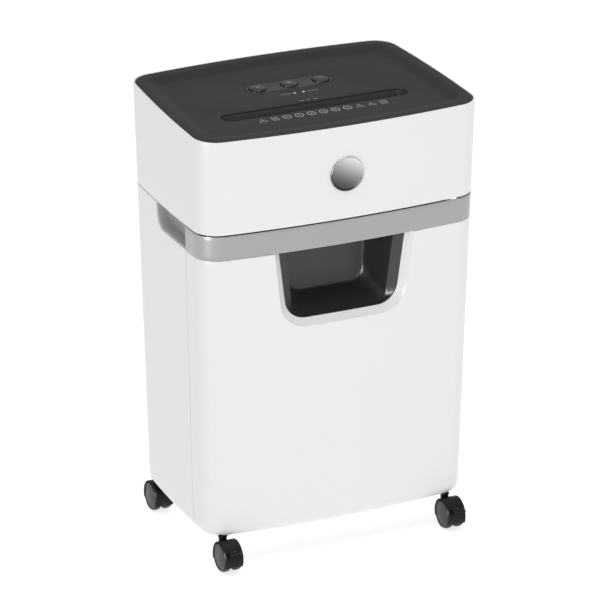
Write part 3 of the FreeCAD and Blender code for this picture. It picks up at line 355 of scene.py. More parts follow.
def cabinet_plan(z, inset):
    """The rear part of the outline, from the right seam round the back to the left seam."""
    _, _, right, right_back, back, left_back, left, _ = plan(z, inset)
    begin = side_fraction(right, SEAM_Y + GAP / 2)
    stop = side_fraction(left, SEAM_Y + GAP / 2)
    points = along_arc(right, [begin + (1 - begin) * share for share in SIDE_SHARES])
    points += along_arc(right_back, even(CORNER_STEPS)[1:])
    points += along_arc(back, even(BACK_STEPS))
    points += along_arc(left_back, even(CORNER_STEPS))
    points += along_arc(left, [stop * (1 - share) for share in reversed(SIDE_SHARES)])
    return points


def front_y(x, z):
    """Y of the front face at a point across it."""
    centre, radius, _, _ = plan(z, 0.0)[0]
    return centre.y - math.sqrt(radius ** 2 - (x - centre.x) ** 2)


def side_x(y, z):
    """Half width of the form at a point along its side."""
    centre, radius, _, _ = plan(z, 0.0)[2]
    return centre.x + math.sqrt(radius ** 2 - (y - centre.y) ** 2)


# ---- paths with rounded corners

def rounded_path(points, radii, count):
    """An open path through points, with each inner corner rounded, resampled evenly."""
    dense = [Vector(points[0])]
    for before, corner, after, radius in zip(points, points[1:], points[2:], radii):
        corner = Vector(corner)
        to_before = (Vector(before) - corner).normalized()
        to_after = (Vector(after) - corner).normalized()
        half = to_before.angle(to_after) / 2
        reach = radius / math.tan(half)
        centre = corner + (to_before + to_after).normalized() * (radius / math.sin(half))
        start = corner + to_before * reach
        stop = corner + to_after * reach
        for step in range(25):
            mix = step / 24
            arm = (start - centre).slerp(stop - centre, mix)
            dense.append(centre + arm.normalized() * radius)
    dense.append(Vector(points[-1]))
    lengths = [0.0]
    for one, two in zip(dense, dense[1:]):
        lengths.append(lengths[-1] + (two - one).length)
    result = []
    segment = 0
    for index in range(count):
        want = lengths[-1] * index / (count - 1)
        while segment < len(lengths) - 2 and lengths[segment + 1] < want:
            segment += 1
        span = lengths[segment + 1] - lengths[segment]
        mix = (want - lengths[segment]) / span if span else 0.0
        result.append(dense[segment].lerp(dense[segment + 1], mix))
    return [(point.x, point.y) for point in result]


def window_path(offset, count, top=BAND_Z):
    """The U of the window as (x, z), moved inwards by an offset."""
    slope = (WINDOW_TOP - WINDOW_LOW) / (BAND_Z + 30 - WINDOW_Z)
    high = WINDOW_LOW + slope * (top - WINDOW_Z) - offset
    low = WINDOW_LOW - offset
    foot = WINDOW_Z + offset
    radius = max(WINDOW_R - offset, 3.0)
    return rounded_path([(-high, top), (-low, foot), (low, foot), (high, top)], [radius, radius], count)


def grip_path(offset, count):
    """The edge of the hand grip as (y, z), from the seam back and up."""
    rear = GRIP_REAR - offset
    foot = GRIP_Z + offset
    radius = max(GRIP_R - offset, 3)
    return rounded_path([(SEAM_Y + GAP / 2, foot), (rear, foot), (rear, SEAM_Z - GAP / 2)], [radius], count)


def between(one, two, mix):
    """A point part of the way from one point to another."""
    return tuple(start + (end - start) * mix for start, end in zip(one, two))


def blended(path_a, path_b, steps):
    """Rows from one path to another, both ends included."""
    return [[between(one, two, step / steps) for one, two in zip(path_a, path_b)]
            for step in range(steps + 1)]


# ---- materials

def node_material(name):
    material = bpy.data.materials.new(name)
    material.use_nodes = True
    nodes = material.node_tree.nodes
    return material, nodes, material.node_tree.links, nodes["Principled BSDF"]


def noise(nodes, links, scale, detail=3.0, stretch=(1, 1, 1)):
    coordinates = nodes.new("ShaderNodeTexCoord")
    mapping = nodes.new("ShaderNodeMapping")
    mapping.inputs["Scale"].default_value = stretch
    texture = nodes.new("ShaderNodeTexNoise")
    texture.inputs["Scale"].default_value = scale
    texture.inputs["Detail"].default_value = detail
    links.new(coordinates.outputs["Object"], mapping.inputs["Vector"])
    links.new(mapping.outputs["Vector"], texture.inputs["Vector"])
    return texture


def ramp(nodes, links, source, low, high):
    """Map a 0..1 texture to a range of values or colours."""
    item = nodes.new("ShaderNodeMix")
    if isinstance(low, (int, float)):
        item.data_type = "FLOAT"
        item.inputs[2].default_value = low
        item.inputs[3].default_value = high
        links.new(source, item.inputs[0])
        return item.outputs[0]
    item.data_type = "RGBA"
    item.inputs[6].default_value = (*low, 1.0)
    item.inputs[7].default_value = (*high, 1.0)
    links.new(source, item.inputs[0])
    return item.outputs[2]


def plastic(name, colour, roughness, grain=900.0, bump=0.02, spread=0.04, specular=0.5, coat=0.0,
            metallic=0.0, stretch=(1, 1, 1)):
    """Moulded plastic or metal: fine grain, slight mottling of colour and gloss."""
    material, nodes, links, shader = node_material(name)
    fine = noise(nodes, links, grain, 2.0, stretch)
    cloud = noise(nodes, links, 9.0, 3.0)
    low = [part * (1 - spread) for part in colour]
    high = [min(part * (1 + spread), 1.0) for part in colour]
    links.new(ramp(nodes, links, cloud.outputs["Fac"], low, high), shader.inputs["Base Color"])
    links.new(ramp(nodes, links, fine.outputs["Fac"], roughness * 0.85, min(roughness * 1.15, 1.0)),
              shader.inputs["Roughness"])
    bumps = nodes.new("ShaderNodeBump")
    bumps.inputs["Strength"].default_value = bump
    bumps.inputs["Distance"].default_value = 0.0003
    links.new(fine.outputs["Fac"], bumps.inputs["Height"])
    links.new(bumps.outputs["Normal"], shader.inputs["Normal"])
    shader.inputs["Specular IOR Level"].default_value = specular
    shader.inputs["Coat Weight"].default_value = coat
    shader.inputs["Coat Roughness"].default_value = 0.06
    shader.inputs["Metallic"].default_value = metallic
    return material


def chrome_painted_reflection(name):
    """A polished disc with a painted reflection: its colour grades from dark at its lower left to bright at
    its upper right.
    """
    material, nodes, links, shader = node_material(name)
    coordinates = nodes.new("ShaderNodeTexCoord")
    slope = nodes.new("ShaderNodeVectorMath")
    slope.operation = "DOT_PRODUCT"
    slope.inputs[1].default_value = (0.34, 0.0, 0.66)
    reflection_ramp = nodes.new("ShaderNodeValToRGB")
    reflection_ramp.color_ramp.interpolation = "B_SPLINE"
    reflection_ramp.color_ramp.elements[0].position = 0.12
    reflection_ramp.color_ramp.elements[0].color = (0.022, 0.022, 0.023, 1)
    reflection_ramp.color_ramp.elements[1].position = 0.92
    reflection_ramp.color_ramp.elements[1].color = (0.86, 0.86, 0.87, 1)
    middle = reflection_ramp.color_ramp.elements.new(0.50)
    middle.color = (0.17, 0.17, 0.175, 1)
    links.new(coordinates.outputs["Generated"], slope.inputs[0])
    links.new(slope.outputs["Value"], reflection_ramp.inputs["Fac"])
    links.new(reflection_ramp.outputs["Color"], shader.inputs["Base Color"])
    shader.inputs["Metallic"].default_value = 1.0
    shader.inputs["Roughness"].default_value = 0.16
    return material


def glowing_floor(name):
    """A pale studio floor that carries a little light of its own, so that shadows stay faint."""
    material, nodes, links, shader = node_material(name)
    cloud = noise(nodes, links, 60.0, 3.0)
    links.new(ramp(nodes, links, cloud.outputs["Fac"], (0.498, 0.498, 0.498), (0.502, 0.502, 0.502)),
              shader.inputs["Base Color"])
    shader.inputs["Roughness"].default_value = 0.95
    shader.inputs["Specular IOR Level"].default_value = 0.0
    shader.inputs["Emission Color"].default_value = (1, 1, 1, 1)
    shader.inputs["Emission Strength"].default_value = FLOOR_GLOW
    return material


WHITE = plastic("white_shell", (0.805, 0.806, 0.808), 0.34, 1400, 0.03, 0.006, 0.5)
PANEL = plastic("dark_panel", (0.024, 0.0225, 0.0205), 0.46, 1500, 0.10, 0.05, 0.20)
STRIP = plastic("button_strip", (0.040, 0.040, 0.040), 0.40, 1500, 0.06, 0.05, 0.26)
BUTTON = plastic("button_cap", (0.022, 0.022, 0.022), 0.22, 1200, 0.03, 0.05, 0.5)
GROOVE = plastic("dark_groove", (0.006, 0.006, 0.006), 0.6, 900, 0.02, 0.05, 0.2)
SILVER = plastic("silver_lacquer", (0.365, 0.365, 0.367), 0.33, 2600, 0.06, 0.02, 0.5, 0.25, 0.55)
SMOKED = plastic("smoked_gloss", (0.030, 0.0293, 0.0287), 0.30, 700, 0.0, 0.05, 0.55)
# painted shade: the grip cups are white plastic, and this mid grey paints the shade in their recess
SHADE_GREY = plastic("grip_painted_shade", (0.47, 0.47, 0.47), 0.42, 1200, 0.05, 0.02, 0.4)
BLACK = plastic("caster_black", (0.007, 0.0067, 0.0064), 0.34, 900, 0.03, 0.10, 0.20)
TREAD = plastic("caster_tread", (0.014, 0.0137, 0.0133), 0.26, 1100, 0.04, 0.10, 0.30)
BIN = plastic("bin_grey", (0.10, 0.10, 0.105), 0.5, 1000, 0.10, 0.04, 0.4)
MARK = plastic("pale_print", (0.52, 0.52, 0.50), 0.5, 1500, 0.02, 0.02, 0.3)
# painted reflection: the badge disc's colour grades from dark at the lower left to bright at the upper right
CHROME_PAINTED_REFLECTION = chrome_painted_reflection("badge_chrome")
STEEL = plastic("plain_steel", (0.46, 0.46, 0.47), 0.34, 800, 0.10, 0.06, 0.5, 0.0, 1.0, (1, 1, 14))
CUTTER = plastic("cutter_steel", (0.27, 0.27, 0.29), 0.30, 700, 0.10, 0.10, 0.5, 0.0, 1.0, (12, 1, 1))
BRONZE = plastic("bronze", (0.52, 0.36, 0.16), 0.35, 900, 0.05, 0.08, 0.5, 0.0, 1.0)
NYLON = plastic("gear_nylon", (0.68, 0.66, 0.58), 0.48, 800, 0.04, 0.03, 0.4)
LACQUER = plastic("motor_lacquer", (0.02, 0.02, 0.022), 0.35, 700, 0.05, 0.10, 0.5)
BOARD = plastic("circuit_board", (0.02, 0.11, 0.05), 0.32, 1600, 0.08, 0.12, 0.5)
SLEEVE = plastic("capacitor_sleeve", (0.36, 0.37, 0.40), 0.38, 700, 0.02, 0.03, 0.4)
LENS = plastic("lamp_lens", (0.62, 0.66, 0.64), 0.12, 500, 0.0, 0.02, 0.6)

NODE_FINISH = {
    "white_plastic": WHITE, "panel_plastic": PANEL, "strip_plastic": STRIP, "button_plastic": BUTTON,
    "lamp_lens": LENS, "badge_chrome": CHROME_PAINTED_REFLECTION, "silver_trim": SILVER, "smoked_window": SMOKED,
    "grey_plastic": SHADE_GREY, "bin_plastic": BIN, "black_plastic": BLACK, "steel": STEEL,
    "cutter_steel": CUTTER, "brass": BRONZE, "gear_nylon": NYLON, "motor_black": LACQUER,
    "board_green": BOARD, "capacitor_skin": SLEEVE,
}


def finish_cad_nodes():
    """Give every carried-over CAD node the material of its slot."""
    for part in frame["record"]["subparts"]:
        item = frame["nodes"][part["node"]]
        material = NODE_FINISH[part["material_slot"]]
        if not item.data.materials:
            item.data.materials.append(material)
        for slot in item.material_slots:
            slot.material = material


def place(item, body, slot, *nodes):
    """Ride a finished piece on its body, in the place of the CAD nodes that it stands for."""
    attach(item, body)
    if nodes:
        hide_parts(*nodes)
    return item


# ---- head

def rim_height(y):
    return RIM_Z + y * math.tan(LEAN)


def head_ring(share, rise, inset):
    """A ring of the head: share runs from its lower edge (0) to the leaning rim (1)."""
    low = SEAM_Z + GAP / 2
    base = closed_plan(RIM_Z, inset)
    foot = closed_plan(low, inset)
    ring = []
    for (x, y), (foot_x, foot_y) in zip(base, foot):
        z = low + share * (rim_height(y) - low) + rise
        mix = (z - low) / (RIM_Z - low)
        ring.append((foot_x + (x - foot_x) * mix, foot_y + (y - foot_y) * mix, z))
    return ring


def make_head():
    profile = [(0, 0, 2.2), (0, 0, 1.1), (0, 0.35, 0.45), (0, 0.95, 0.08), (0, 1.5, 0)]
    profile += [(step / 8, 0, 0) for step in range(1, 8)]
    profile += [(1, -1.2, 0), (1, -0.65, 0.06), (1, -0.3, 0.22), (1, -0.08, 0.5), (1, 0, 0.85),
                (1, 0, 1.5), (1, -0.1, 1.85), (1, -0.4, 2.0), (1, -7, 2.0), (1, -7.2, WALL)]
    profile += [(0.5, 0, WALL), (0, 0.2, WALL), (0, 0, 2.8)]
    rows = [head_ring(*entry) for entry in profile]
    rows.append(rows[0])
    shell = skin_of("head_skin", rows, WHITE, closed=True)
    cutters = [block(f"vent_{row}", (20, 60, 440 + row * 9), (110, 160, 444 + row * 9), WHITE, 1.2)
               for row in range(6)]
    cutters.append(block("inlet_gap", (-127, 60, 434), (-97, 160, 458), WHITE, 1.0))
    carve(shell, *cutters)
    return place(shell, "root", "white_plastic", "head_shell")


def dish_level(inset):
    """Depth of the dish below the rim at a distance in from the edge."""
    if inset <= DISH_OUTER:
        return 0.0
    if inset >= DISH_INNER:
        return -DISH_DEPTH
    mix = (inset - DISH_OUTER) / (DISH_INNER - DISH_OUTER)
    return -DISH_DEPTH * (3 * mix * mix - 2 * mix ** 3)


def stadium(length, width, grow=0.0, steps=16, centre_y=0.0):
    """A slot outline about (0, centre_y), counter-clockwise."""
    reach = (length - width) / 2
    radius = width / 2 + grow
    points = []
    for side, start in ((1, -math.pi / 2), (-1, math.pi / 2)):
        for step in range(steps + 1):
            angle = start + math.pi * step / steps
            points.append((side * reach + radius * math.cos(angle), centre_y + radius * math.sin(angle)))
    return points


def circle(radius, x, y, steps=40):
    return [(x + radius * math.cos(2 * math.pi * i / steps), y + radius * math.sin(2 * math.pi * i / steps))
            for i in range(steps)]


def level(points, z):
    return [(x, y, z) for x, y in points]


def flat_with_holes(name, outer, holes, z, material):
    """A level plate between an outline and holes, as one triangulated sheet."""
    shape = bmesh.new()
    for loop in [outer] + holes:
        vertices = [shape.verts.new(Vector((x, y, z)) * MM) for x, y in loop]
        for index in range(len(vertices)):
            shape.edges.new((vertices[index], vertices[(index + 1) % len(vertices)]))
    bmesh.ops.triangle_fill(shape, use_beauty=True, use_dissolve=False, edges=shape.edges)
    mesh = bpy.data.meshes.new(name)
    shape.to_mesh(mesh)
    shape.free()
    mesh.materials.append(material)
    item = bpy.data.objects.new(name, mesh)
    bpy.context.scene.collection.objects.link(item)
    return item


def lip(name, outline, profile, z, material):
    """An edge that rolls down from a level: profile lists (growth of the outline, rise)."""
    rows = [level(outline(grow), z + rise) for grow, rise in profile]
    return skin_of(name, rows, material, closed=True)


def throat_outline(grow):
    return stadium(THROAT_LENGTH, THROAT_WIDTH, grow, 20, THROAT_Y)


def strip_outline(grow):
    return stadium(STRIP_LENGTH, STRIP_WIDTH, grow, 16, BUTTON_Y)


def lean_object(item):
    for vertex in item.data.vertices:
        vertex.co = Vector(lean(vertex.co / MM)) * MM
    item.data.update()


def make_panel():
    """The dished dark panel, with its throat and its seat for the button strip."""
    floor = RIM_Z - DISH_DEPTH
    roll = ((0, -6.5), (0, -0.45), (0.12, -0.15), (0.45, 0))
    profile = [(PANEL_INSET + inset, rise) for inset, rise in roll]
    slope = [DISH_OUTER + (DISH_INNER - DISH_OUTER) * i / 14 for i in range(1, 15)]
    profile += [(inset, dish_level(inset)) for inset in [4, 8, DISH_OUTER] + slope]
    profile.append((DISH_INNER + 2, -DISH_DEPTH))
    rows = [level(closed_plan(RIM_Z, inset), RIM_Z + rise) for inset, rise in profile]
    pieces = [skin_of("panel_dish", rows, PANEL, closed=True)]
    outer = closed_plan(RIM_Z, DISH_INNER + 2)
    holes = [throat_outline(1.6), strip_outline(0.9)]
    holes += [circle(LAMP_R + 0.7, side * LAMP_X, LAMP_Y, 24) for side in (-1, 1)]
    pieces.append(flat_with_holes("panel_floor", outer, holes, floor, PANEL))
    roll = ((1.6, 0), (1.0, -0.06), (0.45, -0.3), (0.12, -0.8), (0, -1.4), (-0.1, -2.4))
    pieces.append(lip("throat_lip", throat_outline, roll, floor, PANEL))
    roll = ((0.9, 0), (0.5, -0.06), (0.25, -0.25), (0.2, -1.4))
    pieces.append(lip("strip_lip", strip_outline, roll, floor, PANEL))
    for side in (-1, 1):
        pieces.append(lip("lamp_edge", lambda grow: circle(LAMP_R + grow, side * LAMP_X, LAMP_Y, 24),
                          ((0.7, 0), (0.45, -0.05), (0.2, -0.3), (0.2, -2)), floor, PANEL))
    panel = joined("dished_panel", pieces)
    lean_object(panel)
    finish_mesh(panel, 50)
    return place(panel, "root", "panel_plastic", "top_panel")


def make_throat():
    """The funnel under the throat, narrowing to the slit, and its guide walls."""
    top = RIM_Z - DISH_DEPTH - 1.6
    low = RIM_Z - 15
    rows = []
    for step in range(9):
        mix = step / 8
        fall = top + (low - top) * mix
        ease = mix ** 0.8
        length = THROAT_LENGTH - 0.3 + (SLIT_LENGTH - THROAT_LENGTH) * ease
        width = THROAT_WIDTH - 0.3 + (SLIT_WIDTH - THROAT_WIDTH) * ease
        rows.append(level(stadium(length, width, 0, 20, THROAT_Y), fall))
    rows.append(level(stadium(SLIT_LENGTH, SLIT_WIDTH, 0, 20, THROAT_Y), low - 2))
    rows.append(level(stadium(SLIT_LENGTH - 1, SLIT_WIDTH, 0, 20, THROAT_Y), low - 32))
    item = skin_of("throat_funnel", leaned(rows), PANEL, closed=True)
    face_outwards(item, (0, THROAT_Y, low))
    item.data.flip_normals()
    applied(item, ("SOLIDIFY", {"thickness": 1.2 * MM, "offset": -1.0}))
    return place(item, "root", "panel_plastic", "throat_chute")


def make_strip():
    """The strip round the buttons, with a well for each."""
    top = RIM_Z - DISH_DEPTH + 0.35
    centres = [side * BUTTON_PITCH for side in (-1, 0, 1)]
    rings = [circle(RING_R + 0.6, x, BUTTON_Y) for x in centres]
    pieces = [flat_with_holes("strip_face", strip_outline(-0.5), rings, top, STRIP)]
    rim = ((-0.5, 0), (-0.25, -0.04), (-0.1, -0.2), (-0.1, -1.4))
    pieces.append(lip("strip_rim", strip_outline, rim, top, STRIP))
    for x in centres:
        pieces.append(lip("well_edge", lambda grow: circle(RING_R + grow, x, BUTTON_Y),
                          ((0.6, 0), (0.3, -0.05), (0.05, -0.25), (0, -0.6), (-0.1, -2.2)), top, STRIP))
        sink = [level(circle(radius, x, BUTTON_Y), top - 2.2) for radius in (RING_R - 0.1, BUTTON_R + 0.3)]
        pieces.append(skin_of("well_floor", sink, GROOVE, closed=True))
    strip = joined("button_strip", pieces)
    lean_object(strip)
    finish_mesh(strip, 50)
    return place(strip, "root", "strip_plastic", "control_strip")


def axis_up():
    return Vector((0, -math.sin(LEAN), math.cos(LEAN)))


def make_buttons():
    """Domed caps; each carries a small generic mark."""
    top = RIM_Z - DISH_DEPTH + 0.4 + 2.4
    profile = [(3, -22), (3, -7), (BUTTON_R - 0.2, -7), (BUTTON_R, -6.8), (BUTTON_R, -1.9),
               (BUTTON_R - 0.12, -1.5), (BUTTON_R - 0.45, -1.2), (BUTTON_R - 0.9, -1.02)]
    profile += [(radius, -0.13 - 0.9 * (radius / BUTTON_R) ** 2)
                for radius in (8.2, 7.2, 6, 4.5, 3, 1.5, 0.4)] + [(0.01, -0.13)]
    for name, body, side in (("button_left", "left_button", -1), ("button_centre", "centre_button", 0),
                             ("button_right", "right_button", 1)):
        centre = Vector(lean((side * BUTTON_PITCH, BUTTON_Y, top)))
        cap = lathe(name + "_cap", profile, centre, axis_up(), BUTTON, 56)
        draw = mark_arrows if side else mark_power
        mark = draw(name + "_mark", side, top - 0.22)
        place(joined(name + "_cap", [cap, mark]), body, "button_plastic", name)


# ---- printed marks

def ribbon(name, points, width, z, closed=False):
    """A thin raised line along level points."""
    rows = [[], [], [], []]
    count = len(points)
    for index, (x, y) in enumerate(points):
        if closed:
            before, after = points[index - 1], points[(index + 1) % count]
        else:
            before, after = points[max(index - 1, 0)], points[min(index + 1, count - 1)]
        way = Vector((after[0] - before[0], after[1] - before[1])).normalized()
        side = Vector((-way.y, way.x)) * width / 2
        for row, (sign, height) in zip(rows, ((1, z), (1, z + PRINT_THICK), (-1, z + PRINT_THICK), (-1, z))):
            row.append((x + side.x * sign, y + side.y * sign, height))
    columns = len(points)
    vertices = [lean(point) for row in rows for point in row]
    faces = grid_faces(4, columns, closed)
    if not closed:
        faces += [(0, columns, 2 * columns, 3 * columns), tuple(columns * i - 1 for i in (4, 3, 2, 1))]
    return new_object(name, vertices, faces, MARK)


def arc_points(x, y, radius, start, stop):
    angles = [math.radians(start + (stop - start) * i / 24) for i in range(25)]
    return [(x + radius * math.cos(angle), y + radius * math.sin(angle)) for angle in angles]


def mark_power(name, side, z):
    """An open ring with a stroke."""
    x = side * BUTTON_PITCH
    ring = ribbon(name, arc_points(x, BUTTON_Y, 2.1, 120, 420), 0.45, z)
    bar = ribbon(name + "_bar", [(x, BUTTON_Y + 0.6), (x, BUTTON_Y + 2.9)], 0.45, z)
    return joined(name, [ring, bar])


def mark_arrows(name, side, z):
    """Two arrowheads that point to one side."""
    x = side * BUTTON_PITCH
    pieces = []
    for shift in (1.6, -0.4):
        points = [(x + side * (shift - 1.4), BUTTON_Y + 1.6), (x + side * (shift + 0.4), BUTTON_Y),
                  (x + side * (shift - 1.4), BUTTON_Y - 1.6)]
        pieces.append(ribbon(name, points, 0.45, z))
    return joined(name, pieces)


def make_pictograms():
    """A row of plain signs in front of the throat, and the lines by the throat and the lamps."""
    z = RIM_Z - DISH_DEPTH
    pitch, row_y, size, feed_y = 15.4, -61.0, 4.9, -20.7
    pieces = []
    for index in range(11):
        pieces += pictogram(index, (index - 5) * pitch, row_y, size, z)
    arrow = [(-2.2, feed_y + 1.6), (0, feed_y - 1.6), (2.2, feed_y + 1.6)]
    pieces.append(ribbon("feed_arrow", arrow, 0.6, z, True))
    for side in (-1, 1):
        pieces.append(ribbon("feed_line", [(side * 6, feed_y), (side * 12, feed_y)], 0.5, z))
    for side in (-1, 1):
        pieces.append(ribbon("lamp_line", [(side * 10, LAMP_Y), (side * 24, LAMP_Y)], 0.45, z))
    return place(joined("panel_marks", pieces), "root", "panel_plastic")


def pictogram(index, x, y, size, z):
    """One sign of the row: triangles, sheets and rings, each with a simple stroke inside."""
    triangle = [(x - size, y - size * 0.8), (x + size, y - size * 0.8), (x, y + size)]
    sheet = [(x - size * 0.7, y - size), (x + size * 0.7, y - size), (x + size * 0.7, y + size),
             (x - size * 0.7, y + size)]
    line = 0.75
    if index in (0, 8, 9):
        return [ribbon("sign", triangle, line, z, True),
                ribbon("sign_bar", [(x, y - size * 0.3), (x, y + size * 0.35)], line, z)]
    if index in (1, 10):
        rows = [ribbon("sign", sheet, line, z, True)]
        rows += [ribbon("sign_bar", [(x - size * 0.35, y + shift), (x + size * 0.35, y + shift)], 0.5, z)
                 for shift in (-1.8, 0, 1.8)]
        return rows
    ring = ribbon("sign", circle(size, x, y, 36), line, z, True)
    strokes = {2: [(-0.5, 0), (0.5, 0)], 3: [(0, -0.5), (0, 0.5)], 4: [(-0.4, -0.4), (0.4, 0.4)],
               5: [(-0.4, 0.4), (0.4, -0.4)], 6: [(-0.45, -0.2), (0, 0.35), (0.45, -0.2)],
               7: [(-0.45, 0.2), (0, -0.35), (0.45, 0.2)]}
    path = [(x + u * size, y + v * size) for u, v in strokes[index]]
    return [ring, ribbon("sign_bar", path, line, z)]


def make_lamps():
    lamps = []
    for side in (-1, 1):
        centre = Vector(lean((side * LAMP_X, LAMP_Y, RIM_Z - DISH_DEPTH + 0.45)))
        profile = [(LAMP_R - 0.05, -2.4), (LAMP_R - 0.05, -0.35), (LAMP_R - 0.3, -0.12), (LAMP_R * 0.5, 0),
                   (0.01, 0.02)]
        lamps.append(lathe("lamp", profile, centre, axis_up(), LENS, 32))
    return place(joined("lamp_lenses", lamps), "root", "lamp_lens", "indicator_lenses")


def make_badge():
    """A plain polished disc with a raised rim; its colour carries a painted reflection."""
    slope = math.atan(DEPTH_TAPER)
    axis = Vector((0, -math.cos(slope), -math.sin(slope)))
    centre = Vector((0, front_y(0, BADGE_Z) + 0.3, BADGE_Z))
    profile = [(BADGE_R - inwards, along) for inwards, along in
               ((0, 0), (0, 1.6), (0.25, 2.2), (0.8, 2.55), (1.4, 2.6), (2.0, 2.4), (2.4, 1.9), (2.9, 1.75))]
    profile += [(radius, 1.75 + 0.55 * (1 - (radius / BADGE_R) ** 2))
                for radius in (16, 13, 10, 7, 4, 2, 0.5)] + [(0.01, 2.3)]
    disc = lathe("badge_disc", profile, centre, axis, CHROME_PAINTED_REFLECTION, 96)
    return place(disc, "root", "badge_chrome", "badge")


# ---- drawer

def base_profile():
    """(height above the base, inset) round the lower edge."""
    result = []
    for step in range(9):
        angle = math.pi / 2 * step / 8
        result.append((BASE_ROUND * (1 - math.cos(angle)), BASE_ROUND * (1 - math.sin(angle))))
    return result


def wall_rows(outline, middle, top, low_steps, high_steps):
    """Rows of a body wall from its rounded foot to a middle height and on to its top."""
    rows = [level(outline(BASE_Z + rise, inset), BASE_Z + rise) for rise, inset in base_profile()]
    straight = BASE_Z + BASE_ROUND
    heights = [straight + (middle - straight) * i / low_steps for i in range(1, low_steps + 1)]
    heights += [middle + (top - middle) * i / high_steps for i in range(1, high_steps + 1)]
    return rows + [level(outline(z, 0), z) for z in heights]


def faces_beside(rows, low_row, is_open):
    """Quads of a wall that leave out the columns of an opening from one row up."""
    columns = len(rows[0])
    return [face for face in grid_faces(len(rows), columns)
            if face[0] // columns < low_row or not is_open(face[0] % columns)]


def make_drawer_front():
    """The drawer's wall, with a window that rolls in to a wide bevel."""
    top = BAND_Z - 0.15
    rows = wall_rows(drawer_plan, 276.0, top, 8, 18)
    low_row = len(rows) - 1 - 18
    first = SEAM_COLUMNS + CORNER_STEPS + EDGE_COLUMNS
    last = first + WINDOW_COLUMNS
    faces = faces_beside(rows, low_row, lambda column: first <= column < last)
    frame_path = [rows[row][first] for row in range(len(rows) - 1, low_row, -1)]
    frame_path += [rows[low_row][column] for column in range(first, last + 1)]
    frame_path += [rows[row][last] for row in range(low_row + 1, len(rows))]
    outline = [(x, z) for x, _, z in frame_path]
    count = len(outline)
    web = blended(outline, window_path(-0.9, count, top), 7)[1:]
    patch = [frame_path] + [[(x, front_y(x, z), z) for x, z in row] for row in web]
    roll = ((-0.35, 0.08), (0.05, 0.35), (0.3, 0.8), (0.5, 1.2), (BEVEL_WIDE * 0.3, BEVEL_DEEP * 0.35),
            (BEVEL_WIDE * 0.6, BEVEL_DEEP * 0.66), (BEVEL_WIDE - 0.4, BEVEL_DEEP - 0.5),
            (BEVEL_WIDE, BEVEL_DEEP), (BEVEL_WIDE + 0.1, BEVEL_DEEP + 1.5))
    for offset, depth in roll:
        patch.append([(x, front_y(x, z) + depth, z) for x, z in window_path(offset, count, top)])
    points = [point for row in rows for point in row]
    faces += [tuple(reversed(face)) for face in grid_faces(len(patch), count, start=len(points))]
    points += [point for row in patch for point in row]
    item = new_object("drawer_skin", points, faces, WHITE)
    face_outwards(item, (0, 0, 200))
    thicken(item, SKIN_WALL, 0.45)
    carve(item, *[block(f"notch_{side}", (side * CASTER_X - NOTCH_R, CASTER_FRONT - NOTCH_R, 30),
                        (side * CASTER_X + NOTCH_R, 0, 66), WHITE, 0) for side in (-1, 1)])
    finish_mesh(item, 32)
    return place(item, "drawer", "white_plastic", "drawer_front")


def make_band():
    """The bright band, with softened long edges."""
    low, high = BAND_Z + 0.15, SEAM_Z - GAP
    profile = ((low, 0.5), (low + 0.25, 0.14), (low + 0.6, 0), (low + 6, 0), ((low + high) / 2, 0),
               (high - 6, 0), (high - 1.0, 0), (high - 0.4, 0.16), (high, 0.7))
    rows = [level(drawer_plan(z, inset), z) for z, inset in profile]
    item = skin_of("band_skin", rows, SILVER)
    face_outwards(item, (0, 0, 400))
    thicken(item, SKIN_WALL, 0.3)
    finish_mesh(item, 32)
    return place(item, "drawer", "silver_trim", "silver_band")


def make_scoop():
    """The smoked hand scoop: side facets, tapering walls and a rounded turn to a flat back."""
    top = SEAM_Z - 8
    count = 90
    front = window_path(BEVEL_WIDE + 0.2, count, top)
    foot = WINDOW_Z + 22
    back = rounded_path([(-54, top), (-50, foot), (50, foot), (54, top)], [20, 20], count)
    edge = [front_y(x, min(z, SEAM_Z)) + BEVEL_DEEP for x, z in front]
    facet = []
    for index, (x, z) in enumerate(front):
        before, after = front[max(index - 1, 0)], front[min(index + 1, count - 1)]
        steep = abs(after[1] - before[1]) / math.dist(before, after)
        facet.append((x - math.copysign(FACET_IN, x) * steep ** 2, z + 0.6))
    rows = [[(x, y - 0.2, z) for (x, z), y in zip(front, edge)]]
    outer = [(x, y, z) for (x, z), y in zip(front, edge)]
    inner = [(x, y + FACET_DEEP, z) for (x, z), y in zip(facet, edge)]
    rows += [[between(one, two, mix) for one, two in zip(outer, inner)] for mix in (0.15, 0.85, 1.0)]
    turn = [(0.02, 0.02), (0.1, 0.09), (0.2, 0.18), (0.35, 0.32), (0.5, 0.46)]
    bend = ((0.5, 0.46), (0.94, 0.88), (1.0, 1.0), (1.24, 1.0))
    for step in range(1, 11):
        mix = step / 10
        weights = ((1 - mix) ** 3, 3 * mix * (1 - mix) ** 2, 3 * mix ** 2 * (1 - mix), mix ** 3)
        turn.append([sum(weight * point[axis] for weight, point in zip(weights, bend)) for axis in (0, 1)])
    for inwards, depth in turn:
        row = []
        for (x, z), (u, v), y in zip(facet, back, edge):
            start = y + FACET_DEEP
            row.append((x + (u - x) * inwards, start + (SCOOP_BACK_Y - start) * depth,
                        z + (v - z) * inwards))
        rows.append(row)
    rim = rows[-1]
    inner = [(x * 0.05, y, top - (top - z) * 0.04) for x, y, z in rim]
    rows += [[between(one, two, mix) for one, two in zip(rim, inner)] for mix in (0.12, 0.35, 0.7, 1.0)]
    item = skin_of("smoked_scoop", rows, SMOKED, smooth=60)
    face_outwards(item, (0, -140, 350))
    item.data.flip_normals()
    thicken(item, 1.6, 0.2)
    finish_mesh(item, 60)
    lid = block("scoop_lid", (-84, rows[0][0][1] + 2, top), (84, SCOOP_BACK_Y + 1.5, top + 2), SMOKED, 0.5)
    return place(joined("smoked_scoop", [item, lid]), "drawer", "smoked_window", "window_scoop")


# ---- cabinet and grips

